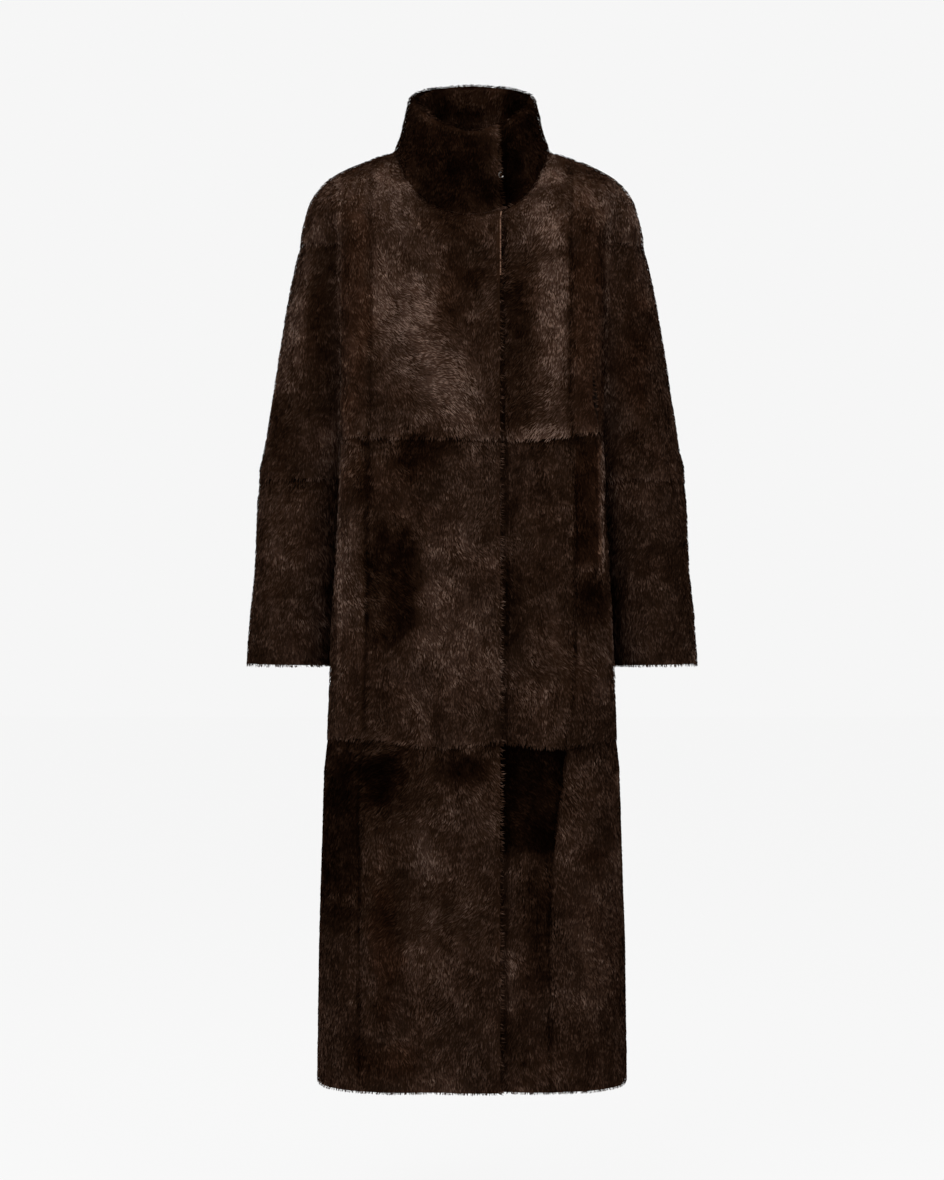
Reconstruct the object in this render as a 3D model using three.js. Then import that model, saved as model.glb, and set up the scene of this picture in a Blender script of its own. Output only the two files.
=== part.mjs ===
// Long shearling coat, closed and filled out as if worn, with nobody in it.
// Millimetres. +Z is up, the front faces -Y, +X is the wearer's left.
// The origin is the middle of the neck opening, level with the shoulder neck points.
import * as THREE from "three";

const WALL = 11; // pelt with its fur: outer faces stand at the tips of the fur
const COLLAR_WALL = 20; // collar and facing together
const SEAM_SHIFT = 0.19; // each piece keeps this far from the seam line
const BACK_DEPTH = 0.93; // depth of the back half against the front half
const LEVEL_DROP = 100; // millimetres of height in one level below the armhole top
const TINY = 1e-6; // differences that don't count

// Body outline at a height, one half: depth of the front, the front end of the fold beside it,
// its corner and its turned-in end, the hollow behind it and the half width at the side.
const BODY = [
  { z: -112, front: 104, edgeX: 147, edgeY: 98.5, cornerX: 161, cornerY: 82, backX: 150, backY: 66,
    turnX: 128, turnY: 42, side: 116 },
  { z: -225, front: 113, edgeX: 147, edgeY: 106.5, cornerX: 160.5, cornerY: 90, backX: 149.5, backY: 74,
    turnX: 122, turnY: 42, side: 117 },
  { z: -300, front: 117, edgeX: 147, edgeY: 109.5, cornerX: 160.5, cornerY: 93, backX: 149, backY: 76,
    turnX: 131, turnY: 44, side: 124 },
  { z: -400, front: 121, edgeX: 147, edgeY: 112, cornerX: 162, cornerY: 95, backX: 152, backY: 77,
    turnX: 146, turnY: 46, side: 144 },
  { z: -500, front: 125, edgeX: 149, edgeY: 115, cornerX: 167, cornerY: 96, backX: 160, backY: 76,
    turnX: 158, turnY: 46, side: 156.5 },
  { z: -625, front: 130, edgeX: 150, edgeY: 119, cornerX: 173, cornerY: 96, backX: 171, backY: 74,
    turnX: 170.5, turnY: 46, side: 170 },
  { z: -720, front: 134, edgeX: 150, edgeY: 121, cornerX: 175.5, cornerY: 93, backX: 178.5, backY: 70,
    turnX: 179.5, turnY: 44, side: 180.5 },
  { z: -850, front: 139, edgeX: 150, edgeY: 123, cornerX: 177, cornerY: 92, backX: 182.5, backY: 68,
    turnX: 185, turnY: 42, side: 185.5 },
  { z: -1000, front: 145, edgeX: 150, edgeY: 127, cornerX: 179, cornerY: 94, backX: 186, backY: 70,
    turnX: 189, turnY: 44, side: 190.5 },
  { z: -1142, front: 150, edgeX: 150, edgeY: 130, cornerX: 180, cornerY: 96, backX: 187, backY: 72,
    turnX: 190.5, turnY: 46, side: 192.5 },
];
const HEM_Z = -1142;
// Places on the half outline, from front centre to side.
const AT = { mid: 0.17, edge: 0.27, corner: 0.31, back: 0.35, turn: 0.41, side: 0.5 };
const MID_SHARE = 0.7; // half width at AT.mid, as a share of the corner's
// How much shallower the outline is at AT.mid than at the centre: at the top, and what the drop adds.
const ROUNDNESS = { top: 2.2, added: 8, from: -400, over: 600 };

// Neck line: turn from front centre, half width, depth towards the back, height.
const NECK = [
  { turn: 0, x: 0, y: -93, z: -80 },
  { turn: 30, x: 49, y: -85, z: -66 },
  { turn: 60, x: 83, y: -54, z: -28 },
  { turn: 90, x: 96.5, y: -6, z: 13 },
  { turn: 135, x: 69, y: 46, z: 30 },
  { turn: 180, x: 0, y: 64, z: 35 },
];
// Collar rim over the same turns.
const RIM = [
  { turn: 0, x: 0, y: -89, z: 26 },
  { turn: 40, x: 51, y: -70, z: 45 },
  { turn: 65, x: 71, y: -44, z: 62 },
  { turn: 90, x: 78, y: -14, z: 80 },
  { turn: 130, x: 61, y: 34, z: 96 },
  { turn: 180, x: 0, y: 58, z: 104 },
];
// How far a height up the collar has moved from the neck line to the rim.
const COLLAR_LEAN = [
  { h: 0, lean: 0 },
  { h: 0.25, lean: 0.4 },
  { h: 0.5, lean: 0.62 },
  { h: 0.75, lean: 0.82 },
  { h: 1, lean: 1 },
];
// Rows of the collar: height share and how deep the outer face has rolled in.
const COLLAR_ROWS = [
  { h: 0, roll: 0 },
  { h: 0.22, roll: 0 },
  { h: 0.45, roll: 0 },
  { h: 0.7, roll: 0 },
  { h: 0.86, roll: 0.6 },
  { h: 0.95, roll: 3 },
  { h: 1, roll: 7 },
];
const NECK_SHIFT = 0.38; // body and collar each keep this much further apart, square to the neck line
// Where the body's and the collar's directions are read for the mitre between them.
const MITRE = { level: 0.12, height: 0.15, clearOfCentre: 0.002, clearOfShoulder: 0.01 };
const COLLAR_END = { right: 21, left: 9 }; // turns where the top and the under end stop
const COLLAR_OVER = 4; // the right end stands out this much
const COLLAR_UNDER = -16.8; // the left end lies in this much
// Degrees from an end over which the collar keeps that stand, and over which it then fades.
const COLLAR_FADE = {
  base: { from: 12, over: 14 },
  right: { from: 25, over: 30 },
  left: { from: 14, over: 30 },
};

// From the neck point to the side: shoulder line, half width and height, and the ring where the
// shoulders end, half width and depth without the fold.
const SHOULDER = [
  { u: 0.17, x: 96.5, z: 13, ringX: 112.7, ringY: 101.8 },
  { u: 0.25, x: 126, z: 2, ringX: 140, ringY: 98.5 },
  { u: 0.31, x: 160, z: -13, ringX: 168, ringY: 88 },
  { u: 0.35, x: 177, z: -24, ringX: 183, ringY: 75 },
  { u: 0.41, x: 193, z: -43, ringX: 201, ringY: 52 },
  { u: 0.5, x: 205.5, z: -72, ringX: 215, ringY: 6 },
];
const SHOULDER_Y = -6; // the shoulder line and the top of the sleeve lie this far forward
const DOME_POWER = 0.7; // how early the dome of the shoulder reaches its full width
const SLOPE_SHARE = 0.9; // how straight the slope below the neck is
const TIP_Z = -106; // top of the dropped armhole
const FOLD_TOP = -112; // where the armhole goes behind the fold beside the front
const FOLD_REACH = 0.07; // part of the outline behind the fold that it still pulls in
// Armhole edge behind the fold, by column from AT.back to the side.
const ARMHOLE = [{ z: -140 }, { z: -170 }, { z: -195 }, { z: -213 }, { z: -225 }];
const CAP_COLUMNS = ARMHOLE.length; // columns over the dropped shoulder, front or back

// Sleeve: outermost and innermost x, half depth at the front, by height.
const SLEEVE = [
  { z: -106, outer: 215.2, inner: 107, depth: 76 },
  { z: -150, outer: 225, inner: 110, depth: 74 },
  { z: -225, outer: 237.5, inner: 117.4, depth: 71 },
  { z: -300, outer: 248.8, inner: 131, depth: 68 },
  { z: -350, outer: 257, inner: 141, depth: 66 },
  { z: -400, outer: 266, inner: 151, depth: 65 },
  { z: -500, outer: 270.5, inner: 163, depth: 63 },
  { z: -600, outer: 279.5, inner: 174.5, depth: 61 },
  { z: -632, outer: 281, inner: 177.5, depth: 60 },
];
const ELBOW_Z = -400;
const CUFF = { outer: -629, inner: -631 };
const ARMPIT_EASE = 0.6; // extra room between sleeve and body below the fold
const EASE_COLUMNS = 3; // columns over which that room opens
const EASE_ROWS = 2; // rows of the sleeve over which it closes again
const TIP_SHARE = 0.5; // how far the last of the shoulder line runs on as a straight slope
const SLEEVE_BLEND = 0.5; // share of the upper sleeve over which the armhole shape fades
const UPPER_SLEEVE_ROWS = 8;
const LOWER_SLEEVE_ROWS = 5;

// Front opening: where the two fronts end, how far they stand out or lie in, the x from which they
// do so fully, how wide the change is, and the level by which the edge has left the collar's end.
const FRONT = {
  rightEdge: 34, leftEdge: -25, over: 4, under: -8.4, overFrom: -20, underFrom: 40, spread: 50,
  settled: 0.25 };
const NEAR_CENTRE = 0.05; // place at which a row's level is read for the front edges

// Long seams: x of the seam at a height, right front and left front.
const SEAM_RIGHT = [
  { z: 20, x: 125 },
  { z: -330, x: 124 },
  { z: -380, x: 127 },
  { z: -700, x: 130 },
  { z: -745, x: 136 },
  { z: -1142, x: 137 },
];
const SEAM_LEFT = [
  { z: 20, x: 122 },
  { z: -330, x: 119 },
  { z: -380, x: 125 },
  { z: -700, x: 122 },
  { z: -735, x: 112 },
  { z: -950, x: 95 },
  { z: -1142, x: 94 },
];
// Cross seams between the tiers, height at an x on the front.
const CROSS_UPPER = [
  { x: -165, z: -350 },
  { x: -60, z: -352 },
  { x: 30, z: -353.5 },
  { x: 85, z: -354 },
  { x: 145, z: -345.5 },
  { x: 165, z: -344 },
];
const CROSS_LOWER = [
  { x: -175, z: -715 },
  { x: -110, z: -719 },
  { x: -45, z: -727 },
  { x: 30, z: -720 },
  { x: 95, z: -727 },
  { x: 175, z: -718 },
];
const CROSS_BACK = { upper: -349, lower: -716 };

const SEAM_START = 0.24; // first guess of a long seam's place
const SEAM_ROUNDS = 6;
const SPLIT_SHARE = 0.7; // place of a front piece's inner line below the neck, as a share of its seam's

// Soft folds hanging on the front: centre x at top and bottom, heights, half width, lift.
const FOLDS = [
  { xTop: -112, xBottom: -96, zTop: -520, zBottom: -1142, half: 42, lift: 5 },
  { xTop: -40, xBottom: -38, zTop: -600, zBottom: -1142, half: 34, lift: -3.5 },
  { xTop: 70, xBottom: 66, zTop: -470, zBottom: -1142, half: 40, lift: 4 },
  { xTop: 136, xBottom: 140, zTop: -260, zBottom: -620, half: 22, lift: 3 },
];

const FOLD_EASE = { top: 150, bottom: 160 }; // millimetres over which a soft fold comes and goes

const ROWS = { dome: 4, belowArm: 3, mid: 6, low: 6 };
// Columns: neck of the right front, neck of the left front and what lies under the right one, neck
// point to long seam, long seam to fold, round the fold, neck of the back.
const COLUMNS = { neckRight: 8, neckLeft: 6, under: 2, shoulder: 2, beside: 2, fold: 4, neckBack: 12 };
// Hook: width, wire radius, segments along and round, height share on the collar, how far its
// middle is past the collar's end (in widths), how far below the collar's face, and its arc.
const HOOK = {
  across: 6, wire: 0.65, segments: 10, sides: 8, height: 0.385, past: 0.72, sunk: 5, start: 60, sweep: 250 };

const materials = {
  shearling: new THREE.MeshStandardMaterial({ name: "shearling", color: 0x4a3a31, roughness: 0.95 }),
  collar: new THREE.MeshStandardMaterial({ name: "collar_shearling", color: 0x33261f, roughness: 0.95 }),
  hook: new THREE.MeshStandardMaterial({
    name: "hook_metal", color: 0xb8b8b8, roughness: 0.3, metalness: 1 }),
};

const clamp = (t, low, high) => Math.min(high, Math.max(low, t));
const smooth = (t) => {
  const s = clamp(t, 0, 1);
  return s * s * (3 - 2 * s);
};
const mix = (a, b, t) => a + (b - a) * t;
const depthShare = (face) => (face < 0 ? 1 : BACK_DEPTH);

// A value of a table at a place, along a smooth curve through the rows.
function read(rows, key, place, column) {
  const rising = rows[rows.length - 1][key] > rows[0][key];
  const sorted = rising ? rows : [...rows].reverse();
  const at = clamp(place, sorted[0][key], sorted[sorted.length - 1][key]);
  let i = 0;
  while (i < sorted.length - 2 && at > sorted[i + 1][key]) i++;
  const span = (k) => sorted[k + 1][key] - sorted[k][key];
  const rise = (k) => (sorted[k + 1][column] - sorted[k][column]) / span(k);
  const slope = (k) => { // no overshoot between rows
    if (k <= 0) return rise(0);
    if (k >= sorted.length - 1) return rise(sorted.length - 2);
    const [before, after] = [rise(k - 1), rise(k)];
    if (before * after <= 0) return 0;
    const [a, b] = [2 * span(k) + span(k - 1), span(k) + 2 * span(k - 1)];
    return (a + b) / (a / before + b / after);
  };
  const w = span(i);
  const t = (at - sorted[i][key]) / w;
  const t2 = t * t;
  const t3 = t2 * t;
  return (2 * t3 - 3 * t2 + 1) * sorted[i][column] + (t3 - 2 * t2 + t) * w * slope(i)
    + (3 * t2 - 2 * t3) * sorted[i + 1][column] + (t3 - t2) * w * slope(i + 1);
}

// Half outline of the hanging body at a height: u from 0 at the centre to 0.5 at the side.
function outlineAt(u, z) {
  const v = {};
  for (const c of Object.keys(BODY[0])) v[c] = read(BODY, "z", z, c);
  const middle = v.front - ROUNDNESS.top - ROUNDNESS.added * smooth((ROUNDNESS.from - z) / ROUNDNESS.over);
  const keys = [
    { u: -AT.mid, x: -MID_SHARE * v.cornerX, y: middle },
    { u: 0, x: 0, y: v.front },
    { u: AT.mid, x: MID_SHARE * v.cornerX, y: middle },
    { u: AT.edge, x: v.edgeX, y: v.edgeY },
    { u: AT.corner, x: v.cornerX, y: v.cornerY },
    { u: AT.back, x: v.backX, y: v.backY },
    { u: AT.turn, x: v.turnX, y: v.turnY },
    { u: AT.side, x: v.side, y: 0 },
    { u: 1 - AT.turn, x: v.turnX, y: -v.turnY },
  ];
  return { x: read(keys, "u", u, "x"), y: read(keys, "u", u, "y"), z };
}

// The neck line or the collar rim at a turn from front centre, in degrees.
function loopAt(rows, turn) {
  const t = Math.abs(turn);
  const full = [{ ...rows[1], turn: -rows[1].turn, x: -rows[1].x }, ...rows,
    { ...rows[rows.length - 2], turn: 360 - rows[rows.length - 2].turn, x: -rows[rows.length - 2].x }];
  return new THREE.Vector3(Math.sign(turn || 1) * read(full, "turn", t, "x"),
    read(full, "turn", t, "y"), read(full, "turn", t, "z"));
}

// Neck line with shoulder line: the top edge of the front (face -1) or back (face 1).
function topEdge(u, face) {
  if (u > AT.mid) {
    return new THREE.Vector3(read(SHOULDER, "u", u, "x"), SHOULDER_Y, read(SHOULDER, "u", u, "z"));
  }
  const turn = 90 * (u / AT.mid);
  return loopAt(NECK, face < 0 ? turn : 180 - turn);
}

// Ring where the shoulders end, without the fold beside the front.
function shoulderRing(u, face) {
  const depth = face * depthShare(face);
  const o = outlineAt(u, FOLD_TOP);
  if (u <= AT.mid) return new THREE.Vector3(o.x, depth * o.y, FOLD_TOP);
  const rise = Math.sin(clamp((u - AT.back) / (0.5 - AT.back), 0, 1) * (Math.PI / 2));
  const end = SHOULDER_Y - depth * SHOULDER[SHOULDER.length - 1].ringY; // both faces end at one place
  const y = depth * read(SHOULDER, "u", u, "ringY") + end * smooth((u - AT.corner) / (0.5 - AT.corner));
  return new THREE.Vector3(read(SHOULDER, "u", u, "ringX"), y, mix(FOLD_TOP, TIP_Z, rise));
}

// How the fold beside the front pulls that ring in.
function foldPull(u, face) {
  const at = Math.min(u, AT.back);
  const o = outlineAt(at, FOLD_TOP);
  const ring = shoulderRing(at, face);
  const fade = 1 - smooth((u - AT.back) / FOLD_REACH);
  const pull = new THREE.Vector3(o.x - ring.x, face * depthShare(face) * o.y - ring.y, 0);
  return pull.multiplyScalar(fade);
}

// Raise of the soft folds at a place of the front.
function foldLift(x, z, face) {
  if (face > 0) return 0;
  let lift = 0;
  for (const f of FOLDS) {
    const along = clamp((z - f.zTop) / (f.zBottom - f.zTop), 0, 1);
    const across = Math.abs(x - mix(f.xTop, f.xBottom, along)) / f.half;
    if (z < f.zTop && across < 1) {
      const comes = smooth((f.zTop - z) / FOLD_EASE.top);
      const goes = smooth((z - f.zBottom + FOLD_EASE.bottom) / FOLD_EASE.bottom);
      lift += f.lift * (1 - smooth(across)) * comes * goes;
    }
  }
  return lift;
}

// Shoulders between their top edge (level 0) and the ring where they end (level 1).
function shoulderSkin(u, face, level) {
  const top = topEdge(u, face);
  const ring = shoulderRing(u, face);
  const t = clamp(level, 0, 1) * (Math.PI / 2);
  const straight = 1 - smooth((u - AT.mid) / (0.5 - AT.mid)); // slope near the neck, dome at the arm
  const tip = TIP_SHARE * smooth((u - AT.turn) / (0.5 - AT.turn)); // the shoulder line runs on there
  const width = mix(Math.sin(t) ** DOME_POWER, level, tip);
  const drop = mix(1 - Math.cos(t), level, Math.max(SLOPE_SHARE * straight, tip));
  const p = new THREE.Vector3(
    mix(top.x, ring.x, width), mix(top.y, ring.y, Math.sin(t)), mix(top.z, ring.z, drop));
  return p.addScaledVector(foldPull(u, face), Math.max(level, 0) ** 4);
}

// Body surface without overlap. U runs from -0.5 (wearer's right side) to 0.5 (left side);
// level 0 is the neck and shoulder line, 1 the shoulder ring, and each further level LEVEL_DROP lower.
function bodySkin(U, face, level) {
  const u = Math.min(Math.abs(U), 0.5);
  let p;
  if (level <= 1 + TINY) p = shoulderSkin(u, face, level);
  else {
    const z = FOLD_TOP - (level - 1) * LEVEL_DROP;
    const o = outlineAt(u, z);
    p = new THREE.Vector3(o.x, face * depthShare(face) * o.y, z);
    p.y += face * foldLift(Math.sign(U) * p.x, p.z, face);
  }
  if (U < 0) p.x = -p.x;
  return p;
}

// Outward direction of the body surface.
function bodyNormal(U, face, level) {
  const du = 0.008;
  const dl = 0.05;
  const uHigh = Math.min(U + du, 0.5);
  const uLow = Math.max(U - du, -0.5);
  const across = bodySkin(uHigh, face, level).sub(bodySkin(uLow, face, level));
  const lower = level <= 1 + TINY ? Math.min(level + dl, 1) : level + dl; // the armhole ends the shoulder
  const down = bodySkin(U, face, lower).sub(bodySkin(U, face, Math.max(level - dl, 0)));
  const n = across.cross(down).multiplyScalar(face).normalize();
  const onTop = level < TINY && Math.abs(U) > AT.mid;
  if (onTop || Math.abs(U) > 0.5 - TINY) n.setY(0).normalize();
  return n;
}

// Direction shared by the body and the collar where they meet, so that neither cuts the other.
function neckMitre(turn) {
  const side = turn < 0 ? -1 : 1;
  const t = Math.min(Math.abs(turn), 180);
  const face = t < 90 ? -1 : 1;
  const u = AT.mid * (face < 0 ? t / 90 : (180 - t) / 90);
  const place = clamp(u, MITRE.clearOfCentre, AT.mid - MITRE.clearOfShoulder);
  const out = bodyNormal(side * place, face, MITRE.level);
  return out.add(collarNormal(turn, MITRE.height)).normalize();
}

// Direction square to the neck line and to the mitre, towards the collar.
function neckUp(turn) {
  const along = loopAt(NECK, turn + 1).sub(loopAt(NECK, turn - 1));
  const up = neckMitre(turn).cross(along).normalize();
  return up.z < 0 ? up.negate() : up;
}

// Collar surface: turn in degrees from front centre, h from the neck line to the rim.
function collarSkin(turn, h) {
  const side = turn - 360 * Math.round(turn / 360);
  const base = loopAt(NECK, side);
  const rim = loopAt(RIM, side);
  const lean = read(COLLAR_LEAN, "h", h, "lean");
  return new THREE.Vector3(mix(base.x, rim.x, lean), mix(base.y, rim.y, lean), mix(base.z, rim.z, h));
}

function collarNormal(turn, h) {
  const dt = 1.5;
  const dh = 0.04;
  const along = collarSkin(turn + dt, h).sub(collarSkin(turn - dt, h));
  const up = collarSkin(turn, Math.min(h + dh, 1)).sub(collarSkin(turn, Math.max(h - dh, 0)));
  return along.cross(up).normalize();
}

// How far the fronts stand out or lie in near the opening.
function frontStand(x, right) {
  if (right) return FRONT.over * smooth((x - FRONT.overFrom + FRONT.spread) / FRONT.spread);
  return FRONT.under * smooth((FRONT.underFrom + FRONT.spread - x) / FRONT.spread);
}

// Place on the half outline where the front surface reaches an x, at a level.
function placeOfX(x, level) {
  const halvings = 30;
  let low = 0;
  let high = AT.edge + 0.01; // x grows as far as this
  for (let k = 0; k < halvings; k++) {
    const half = (low + high) / 2;
    if (Math.abs(bodySkin(half, -1, level).x) < Math.abs(x)) low = half;
    else high = half;
  }
  return Math.sign(x) * low;
}

const levelOf = (z) => 1 + (FOLD_TOP - z) / LEVEL_DROP;

// Level of a cross seam at a place round the body.
function crossLevel(rows, back, U, face) {
  const u = Math.abs(U);
  if (face > 0) return levelOf(back);
  const x = bodySkin(U, -1, levelOf(back)).x;
  const z = read(rows, "x", x, "z");
  return levelOf(mix(z, back, smooth((u - AT.corner) / (0.5 - AT.corner))));
}

const tiers = {
  upper: { top: () => 0, bottom: (U, f) => crossLevel(CROSS_UPPER, CROSS_BACK.upper, U, f) },
  mid: { top: (U, f) => crossLevel(CROSS_UPPER, CROSS_BACK.upper, U, f),
    bottom: (U, f) => crossLevel(CROSS_LOWER, CROSS_BACK.lower, U, f) },
  low: { top: (U, f) => crossLevel(CROSS_LOWER, CROSS_BACK.lower, U, f), bottom: () => levelOf(HEM_Z) },
};

// Rows of a tier: each gives the level at a place.
function tierRows(tier) {
  const t = tiers[tier];
  if (tier !== "upper") {
    const count = ROWS[tier];
    return Array.from({ length: count + 1 }, (_, i) => ({
      level: (U, f) => mix(t.top(U, f), t.bottom(U, f), i / count), neck: false }));
  }
  const rows = [];
  for (let i = 0; i <= ROWS.dome; i++) rows.push({ level: () => i / ROWS.dome, neck: true });
  for (const a of ARMHOLE) rows.push({ level: () => levelOf(a.z), neck: true });
  const from = levelOf(ARMHOLE[ARMHOLE.length - 1].z);
  for (let i = 1; i <= ROWS.belowArm; i++) {
    rows.push({ level: (U, f) => mix(from, t.bottom(U, f), i / ROWS.belowArm), neck: true });
  }
  return rows;
}

// A named mesh from flat lists of coordinates and of corners.
function meshOf(name, points, faces, material) {
  const geometry = new THREE.BufferGeometry();
  geometry.setAttribute("position", new THREE.Float32BufferAttribute(points, 3));
  geometry.setIndex(faces);
  geometry.computeVertexNormals();
  const mesh = new THREE.Mesh(geometry, material);
  mesh.name = name;
  return mesh;
}

// Triangles of a grid. cellOf(i, j) names the cell below and right of a grid point: "full", or the
// corner that is "cutRight" or "cutLeft" off at the top by the armhole, or nothing.
function gridTriangles(grid, cellOf) {
  const columns = grid[0].length;
  const tris = [];
  for (let i = 0; i < grid.length - 1; i++) {
    for (let j = 0; j < columns - 1; j++) {
      const kind = cellOf(i, j);
      const a = i * columns + j;
      const [b, c, d] = [a + columns, a + columns + 1, a + 1];
      if (kind === "full") tris.push([a, b, c], [a, c, d]);
      else if (kind === "cutRight") tris.push([a, b, c]);
      else if (kind === "cutLeft") tris.push([b, c, d]);
    }
  }
  return tris;
}

// Edges that only one of the triangles has, each in that triangle's direction.
function rimEdges(tris) {
  const edges = new Map();
  for (const t of tris) {
    for (const [p, q] of [[t[0], t[1]], [t[1], t[2]], [t[2], t[0]]]) {
      if (edges.has(`${q} ${p}`)) edges.delete(`${q} ${p}`);
      else edges.set(`${p} ${q}`, [p, q]);
    }
  }
  return [...edges.values()];
}

// A closed piece of cloth from a grid of outer points: grid[i][j] is { p, n, wall }, with its
// outward direction and how thick the piece is there.
function clothPiece(name, grid, cellOf, material) {
  const at = (k) => grid[Math.floor(k / grid[0].length)][k % grid[0].length];
  const tris = gridTriangles(grid, cellOf);
  const rim = rimEdges(tris);
  const pull = new Map(); // directions into the piece at each point of its rim
  for (const [p, q] of rim) {
    for (const k of [p, q]) {
      const into = at(k).n.clone().cross(at(q).p.clone().sub(at(p).p)).normalize();
      pull.set(k, [...(pull.get(k) || []), into]);
    }
  }
  const used = [...new Set(tris.flat())];
  const place = new Map(used.map((k, i) => [k, i]));
  const outer = used.map((k) => {
    const g = at(k);
    const out = g.p.clone();
    if (pull.has(k)) {
      const [v, w] = pull.get(k);
      out.addScaledVector(v.clone().add(w), Math.min(SEAM_SHIFT / (1 + v.dot(w)), 4 * SEAM_SHIFT));
    }
    return { out, into: out.clone().addScaledVector(g.n, -g.wall) };
  });
  const count = outer.length;
  const points = [...outer.flatMap((o) => o.out.toArray()), ...outer.flatMap((o) => o.into.toArray())];
  const faces = [];
  for (const t of tris) {
    const [a, b, c] = t.map((k) => place.get(k));
    faces.push(a, b, c, a + count, c + count, b + count);
  }
  const lower = (a, b) => outer[a].out.z - outer[b].out.z || outer[a].out.x - outer[b].out.x;
  for (const [p, q] of rim) { // split the same way on both sides of a seam
    const [a, b] = [place.get(p), place.get(q)];
    if (lower(a, b) < 0) faces.push(b, a, b + count, a, a + count, b + count);
    else faces.push(b, a, a + count, b, a + count, b + count);
  }
  return meshOf(name, points, faces, material);
}

// One grid point of the body.
function bodySample(U, face, level, stand) {
  const onNeck = level < TINY && Math.abs(U) <= AT.mid + TINY;
  const p = bodySkin(U, face, level);
  let n = bodyNormal(U, face, level);
  if (onNeck) {
    const turn = 90 * (Math.abs(U) / AT.mid);
    const along = Math.sign(U || 1) * (face < 0 ? turn : 180 - turn);
    n = neckMitre(along);
    p.addScaledVector(neckUp(along), -NECK_SHIFT);
  }
  p.addScaledVector(n, stand(p.x));
  return { p, n, wall: WALL };
}

// A front or back piece: spans is a list of [line, columns] pairs that follow the first line. Pieces
// that reach the side, named in sides, leave the armhole open in the upper tier.
function bodyPanel(name, tier, face, first, spans, sides = [], stand = () => 0) {
  const rows = tierRows(tier);
  const grid = rows.map((row) => {
    const places = [first(row)];
    for (const [line, count] of spans) {
      const from = places[places.length - 1];
      const to = line(row);
      for (let k = 1; k <= count; k++) places.push(mix(from, to, k / count));
    }
    const line = places.map((U) => bodySample(U, face, row.level(U, face), stand));
    return face > 0 ? line.reverse() : line; // so that the faces of a back piece point out as well
  });
  const last = grid[0].length - 1;
  const armholeOn = (side) => sides.includes(side) && tier === "upper";
  const cellOf = (i, j) => {
    const row = i - ROWS.dome; // rows below the shoulder ring
    if (row < 0 || row >= CAP_COLUMNS) return "full";
    const fromRight = armholeOn(face < 0 ? "left" : "right") ? last - 1 - j : CAP_COLUMNS;
    const fromLeft = armholeOn(face < 0 ? "right" : "left") ? j : CAP_COLUMNS;
    const open = CAP_COLUMNS - 1 - row;
    if (fromRight < open || fromLeft < open) return "";
    if (fromRight === open) return "cutRight";
    return fromLeft === open ? "cutLeft" : "full";
  };
  return clothPiece(name, grid, cellOf, materials.shearling);
}

// Lines that pieces start and end on, as places on the half outline for a row of a tier.
const seamPlace = (rows, side) => (row) => {
  let U = side * SEAM_START;
  for (let k = 0; k < SEAM_ROUNDS; k++) {
    const level = row.level(U, -1);
    U = placeOfX(side * read(rows, "z", bodySkin(U, -1, level).z, "x"), level);
  }
  return U;
};
const frontEdge = (row) => { // ends where the collar ends at the neck
  const level = row.level(NEAR_CENTRE, -1);
  const settled = clamp(level / FRONT.settled, 0, 1);
  return mix((COLLAR_END.right / 90) * AT.mid, placeOfX(FRONT.rightEdge, level), settled);
};
const edgePlace = (x) => (row) => placeOfX(x, row.level(Math.sign(x) * NEAR_CENTRE, -1));
const fixedPlace = (place) => () => place;
const neckPlace = (side, seam) => (row) => side * (row.neck ? AT.mid : SPLIT_SHARE * Math.abs(seam(row)));
const turnPlace = (turn) => () => (turn / 90) * AT.mid;

function bodyPieces() {
  const pieces = [];
  const right = seamPlace(SEAM_RIGHT, -1);
  const left = seamPlace(SEAM_LEFT, 1);
  const c = COLUMNS;
  for (const tier of Object.keys(tiers)) {
    pieces.push(
      bodyPanel(`${tier}_front_right`, tier, -1, right,
        [[neckPlace(-1, right), c.shoulder], [frontEdge, c.neckRight]], [], (x) => frontStand(x, true)),
      bodyPanel(`${tier}_front_left`, tier, -1, edgePlace(FRONT.leftEdge),
        [[turnPlace(COLLAR_END.left), c.under], [neckPlace(1, left), c.neckLeft], [left, c.shoulder]], [],
        (x) => frontStand(x, false)),
      bodyPanel(`${tier}_side_right`, tier, -1, fixedPlace(-AT.side), [[fixedPlace(-AT.back), CAP_COLUMNS],
        [fixedPlace(-AT.edge), c.fold], [right, c.beside]], ["right"]),
      bodyPanel(`${tier}_side_left`, tier, -1, left, [[fixedPlace(AT.edge), c.beside],
        [fixedPlace(AT.back), c.fold], [fixedPlace(AT.side), CAP_COLUMNS]], ["left"]),
      bodyPanel(`${tier}_back`, tier, 1, fixedPlace(-AT.side), [[fixedPlace(-AT.back), CAP_COLUMNS],
        [fixedPlace(-AT.edge), c.fold], [fixedPlace(-AT.mid), c.beside], [fixedPlace(AT.mid), c.neckBack],
        [fixedPlace(AT.edge), c.beside], [fixedPlace(AT.back), c.fold], [fixedPlace(AT.side), CAP_COLUMNS]],
      ["right", "left"]),
    );
  }
  return pieces;
}

// Oval of the sleeve at a height: turn 0 is outermost, 90 the front (or back), 180 innermost.
function sleeveOval(turn, z, face) {
  const outer = read(SLEEVE, "z", z, "outer");
  const inner = read(SLEEVE, "z", z, "inner");
  const depth = read(SLEEVE, "z", z, "depth") * depthShare(face);
  const t = THREE.MathUtils.degToRad(turn);
  return new THREE.Vector3((outer + inner) / 2 + ((outer - inner) / 2) * Math.cos(t),
    face * depth * Math.sin(t) + SHOULDER_Y * (1 - Math.sin(t)), z);
}

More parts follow.
